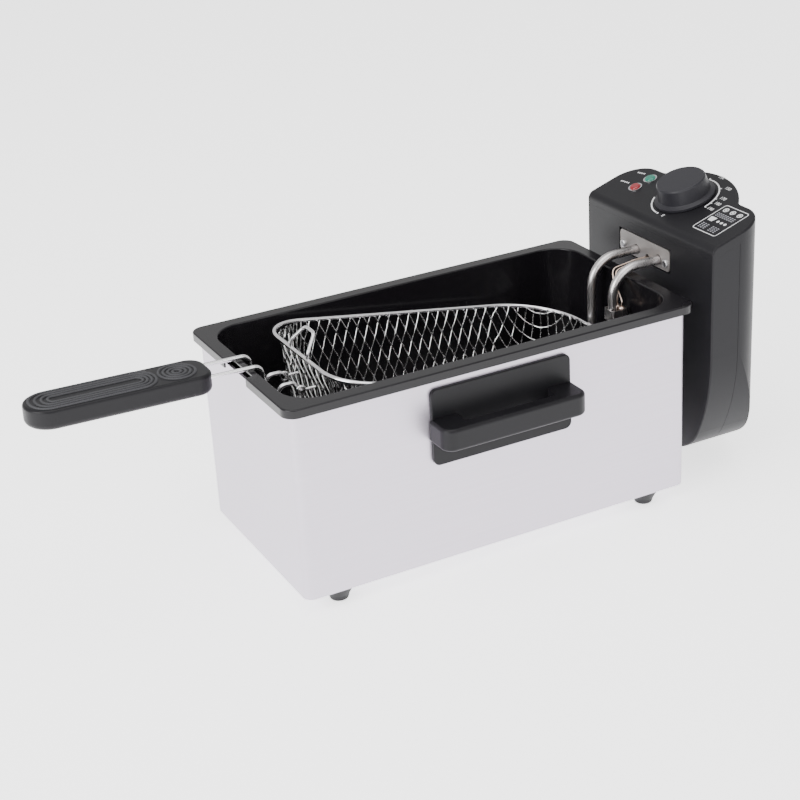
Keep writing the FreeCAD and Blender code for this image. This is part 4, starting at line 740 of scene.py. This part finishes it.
# The legend, in millimetres from its low corner unless a name says otherwise.
LEGEND_CORNER, LEGEND_LINE = 2.2 * MM, 0.7 * MM
RING_DROP, RING_RADIUS, RING_LINE = 5.0 * MM, 2.1 * MM, 0.8 * MM
CUP = ((3, 12.5), (8, 12.5), (9, 17.5), (2.2, 17.5))
BEAD_START, BEAD_PITCH, BEAD_LEVEL, BEAD_RADIUS = 13.2, 4.2, 14.6, 1.35
ROW_PITCH = 1.7
HEAD_ROWS = [(3.0, 24.5, 19.8 + ROW_PITCH * index) for index in range(3)]
COLUMN_ROWS = [(start, start + 9.0, 3.2 + ROW_PITCH * index) for start in (3.0, 15.0) for index in range(4)]
DASH_PITCH, DASH_LENGTH, DASH_WIDTH = 2.4, 1.7, 0.85


def flat_line(points, width, closed=False):
    """A printed line: a round tube pressed nearly flat, on the plane z = 0."""
    mesh = tube_mesh("line", [[(*point, 0) for point in points]], width / 2, sides=2, closed=closed)
    mesh.transform(Matrix.Diagonal((1, 1, INK_HEIGHT / (width / 2), 1)))
    return mesh


def arc_points(centre, radius, start, end, steps=40):
    """Points round an arc, with both angles in degrees."""
    turns = [math.radians(start + (end - start) * index / steps) for index in range(steps + 1)]
    return [(centre[0] + radius * math.cos(turn), centre[1] + radius * math.sin(turn)) for turn in turns]


def arc_point(centre, radius, angle):
    return arc_points(centre, radius, angle, angle, 1)[0]


def rounded_outline(low, high, radius, steps=6):
    """Points round a rectangle with round corners."""
    corners = ((high[0] - radius, high[1] - radius, 0), (low[0] + radius, high[1] - radius, 90),
               (low[0] + radius, low[1] + radius, 180), (high[0] - radius, low[1] + radius, 270))
    return [point for x, y, start in corners
            for point in arc_points((x, y), radius, start, start + 90, steps)]


def flat_patch(points):
    """A filled printed shape with a little thickness."""
    bm = bmesh.new()
    face = bm.faces.new([bm.verts.new((x, y, 0)) for x, y in points])
    raised = bmesh.ops.extrude_face_region(bm, geom=[face])
    bmesh.ops.translate(bm, vec=(0, 0, INK_HEIGHT),
                        verts=[item for item in raised["geom"] if isinstance(item, bmesh.types.BMVert)])
    bmesh.ops.recalc_face_normals(bm, faces=bm.faces)
    # An extrusion's sides come out in no fixed order, so they are put in one.
    ordered = sorted(bm.faces, key=lambda side: tuple(side.calc_center_median()))
    for index, side in enumerate(ordered):
        side.index = index
    bm.faces.sort()
    mesh = bpy.data.meshes.new("patch")
    bm.to_mesh(mesh)
    bm.free()
    return mesh


def printed_number(text, centre, height):
    """A number in the built-in face, as a thin raised mesh."""
    curve = bpy.data.curves.new("number", "FONT")
    curve.body = text
    curve.align_x = "CENTER"
    curve.align_y = "CENTER"
    curve.size = height * TYPE_SIZE
    curve.extrude = INK_HEIGHT / 2
    curve.resolution_u = 3
    holder = bpy.data.objects.new("number", curve)
    mesh = bpy.data.meshes.new_from_object(holder)
    bpy.data.objects.remove(holder)
    bpy.data.curves.remove(curve)
    mesh.transform(Matrix.Translation((*centre, INK_HEIGHT / 2)))
    return mesh


def join_meshes(meshes, place):
    """One bmesh from several meshes, put in its place."""
    bm = bmesh.new()
    for mesh in meshes:
        bm.from_mesh(mesh)
        bpy.data.meshes.remove(mesh)
    bm.transform(place)
    return bm


def panel_plane(settings):
    """The panel's own plane: X runs to the right of a user at the basket, Y runs up the slope."""
    upward = Vector((PANEL_NORMAL.z, 0, -PANEL_NORMAL.x))
    return turned(KNOB_FOOT - upward * settings.knob_along, (0, -1, 0), upward)


class FRYER_OT_panel_print(bpy.types.Operator):
    """Print the dial line, its numbers, the lamp marks and the legend on the control panel"""
    bl_idname = "fryer.panel_print"
    bl_label = "Panel print"

    def execute(self, context):
        settings = context.scene.fryer_panel
        plane = panel_plane(settings)
        white = self.dial(settings) + self.lamp_marks() + self.legend_shapes(settings)
        finish_piece("panel_print_white", join_meshes(white, plane), finish_named("panel_print"), "control",
                     smooth=False)
        finish_piece("panel_print_grey", join_meshes(self.legend_rows(settings), plane),
                     finish_named("panel_print_grey"), "control", smooth=False)
        return {"FINISHED"}

    def dial(self, settings):
        centre, radius = (0, settings.knob_along), settings.dial_radius
        meshes = [flat_line(arc_points(centre, radius, *ends), LINE_WIDTH * 1.25) for ends in DIAL_ARCS]
        for angle in DIAL_TICKS:
            ends = [arc_point(centre, radius + offset, angle) for offset in (0, TICK_LENGTH)]
            meshes.append(flat_line(ends, LINE_WIDTH))
        meshes.append(flat_patch(arc_points(arc_point(centre, radius, DOT_ANGLE), DOT_RADIUS, 0, 345, 12)))
        meshes.append(printed_number("0", ZERO_PLACE, settings.number_height))
        for text, angle in DIAL_NUMBERS:
            spot = arc_point(centre, settings.number_radius, angle)
            meshes.append(printed_number(text, spot, settings.number_height))
        return meshes

    def lamp_marks(self):
        marks = []
        for start, end in LAMP_MARKS:
            start, end = Vector(start) * MM, Vector(end) * MM
            for index in range(MARK_DASHES):
                ends = [start.lerp(end, (index + part) / MARK_DASHES) for part in (0, DASH_SHARE)]
                marks.append(flat_line(ends, LINE_WIDTH * 1.5))
        return marks

    def legend_shapes(self, settings):
        low, high = Vector(settings.legend_low), Vector(settings.legend_high)
        width = high.x - low.x
        meshes = [flat_line(rounded_outline(low, high, LEGEND_CORNER), LEGEND_LINE, closed=True)]
        for index in range(3):
            x, y = low.x + width * (0.2 + 0.3 * index), high.y - RING_DROP
            meshes.append(flat_line(arc_points((x, y), RING_RADIUS, 0, 348, 14), RING_LINE, closed=True))
            near, far = (x - 1.0 * MM, y - 0.8 * MM), (x + 1.0 * MM, y + 0.9 * MM)
            meshes.append(flat_patch(rounded_outline(near, far, 0.4 * MM, 3)))
        meshes.append(flat_patch([(low.x + x * MM, low.y + y * MM) for x, y in CUP]))
        for index in range(3):
            spot = (low.x + (BEAD_START + BEAD_PITCH * index) * MM, low.y + BEAD_LEVEL * MM)
            meshes.append(flat_patch(arc_points(spot, BEAD_RADIUS * MM, 0, 330, 11)))
        return meshes

    def legend_rows(self, settings):
        low = Vector(settings.legend_low)
        rows = []
        for start, end, level in HEAD_ROWS + COLUMN_ROWS:
            dashes = int((end - start) / DASH_PITCH)
            for index in range(dashes):
                left = low.x + (start + (end - start) * index / dashes) * MM
                ends = [(left, low.y + level * MM), (left + DASH_LENGTH * MM, low.y + level * MM)]
                rows.append(flat_line(ends, DASH_WIDTH * MM))
        return rows


# ---------------------------------------------------------------- grip ribs

FIRST_RING = 0.9  # radius of the pad's first ring, in ring steps
PAD_MARGIN = 0.8  # space between the pad's last ring and the ribs, in ring steps
RIB_LOOPS = 4
RIB_SIDE_GAP = 3.6 * MM
RIB_TIP_GAP = 4.5 * MM
RIB_TIP_STEP, RIB_REAR_STEP = 1.3, 0.9  # spacing of the loops at their ends, in ring steps
RIB_ROUND = 0.92  # corner radius of a loop, as a share of its half width


class FRYER_OT_grip_ribs(bpy.types.Operator):
    """Raise the thumb pad's rings and the nested lengthwise ribs on the grip's top"""
    bl_idname = "fryer.grip_ribs"
    bl_label = "Grip ribs"

    def execute(self, context):
        settings = context.scene.fryer_grip
        handle = Matrix.Translation(PIVOT) @ Matrix.Rotation(settings.pitch, 4, "Y")
        corners = [handle.inverted() @ vertex.co for vertex in NODES["handle_grip_top"].data.vertices]
        root, tip = max(point.x for point in corners), min(point.x for point in corners)
        half, top = max(point.y for point in corners), max(point.z for point in corners)
        pad = (root - settings.pad_place, 0)
        loops = [arc_points(pad, settings.ring_step * (index + FIRST_RING), 0, 350, 35)
                 for index in range(settings.pad_rings)]
        rear = pad[0] - settings.ring_step * (settings.pad_rings + PAD_MARGIN)
        for index in range(RIB_LOOPS):
            inset = settings.ring_step * index
            side = half - RIB_SIDE_GAP - inset
            near = (tip + RIB_TIP_GAP + inset * RIB_TIP_STEP, -side)
            far = (rear - inset * RIB_REAR_STEP, side)
            loops.append(rounded_outline(near, far, side * RIB_ROUND, 8))
        meshes = [tube_mesh("ridge", [[(*point, 0) for point in loop]], settings.ridge, sides=2, closed=True)
                  for loop in loops]
        flatten = Matrix.Diagonal((1, 1, settings.ridge_height / settings.ridge, 1))
        ridges = join_meshes(meshes, handle @ Matrix.Translation((0, 0, top)) @ flatten)
        finish_piece("grip_ribs", ridges, finish_named("handle_plastic"), "handle")
        return {"FINISHED"}


# ---------------------------------------------------------------- registration

class FRYER_PT_panel(bpy.types.Panel):
    """Lists the fryer's pieces"""
    bl_idname = "FRYER_PT_panel"
    bl_label = "Deep Fryer"
    bl_space_type = "VIEW_3D"
    bl_region_type = "UI"
    bl_category = "Fryer"

    def draw(self, context):
        for operator in OPERATORS:
            self.layout.operator(operator.bl_idname)


OPERATORS = (FRYER_OT_stage, FRYER_OT_finishes, FRYER_OT_basket_mesh, FRYER_OT_panel_print,
             FRYER_OT_grip_ribs)
SETTINGS = {"fryer_stage": StageSettings, "fryer_basket": BasketSettings, "fryer_panel": PanelSettings,
            "fryer_grip": GripSettings}


def register():
    for cls in (*SETTINGS.values(), *OPERATORS, FRYER_PT_panel):
        bpy.utils.register_class(cls)
    for name, cls in SETTINGS.items():
        setattr(bpy.types.Scene, name, PointerProperty(type=cls))


def unregister():
    for name in SETTINGS:
        delattr(bpy.types.Scene, name)
    for cls in (FRYER_PT_panel, *reversed(OPERATORS), *reversed(SETTINGS.values())):
        bpy.utils.unregister_class(cls)


def main():
    register()
    for operator in OPERATORS:
        group, name = operator.bl_idname.split(".")
        getattr(getattr(bpy.ops, group), name)()


if __name__ == "__main__":
    main()
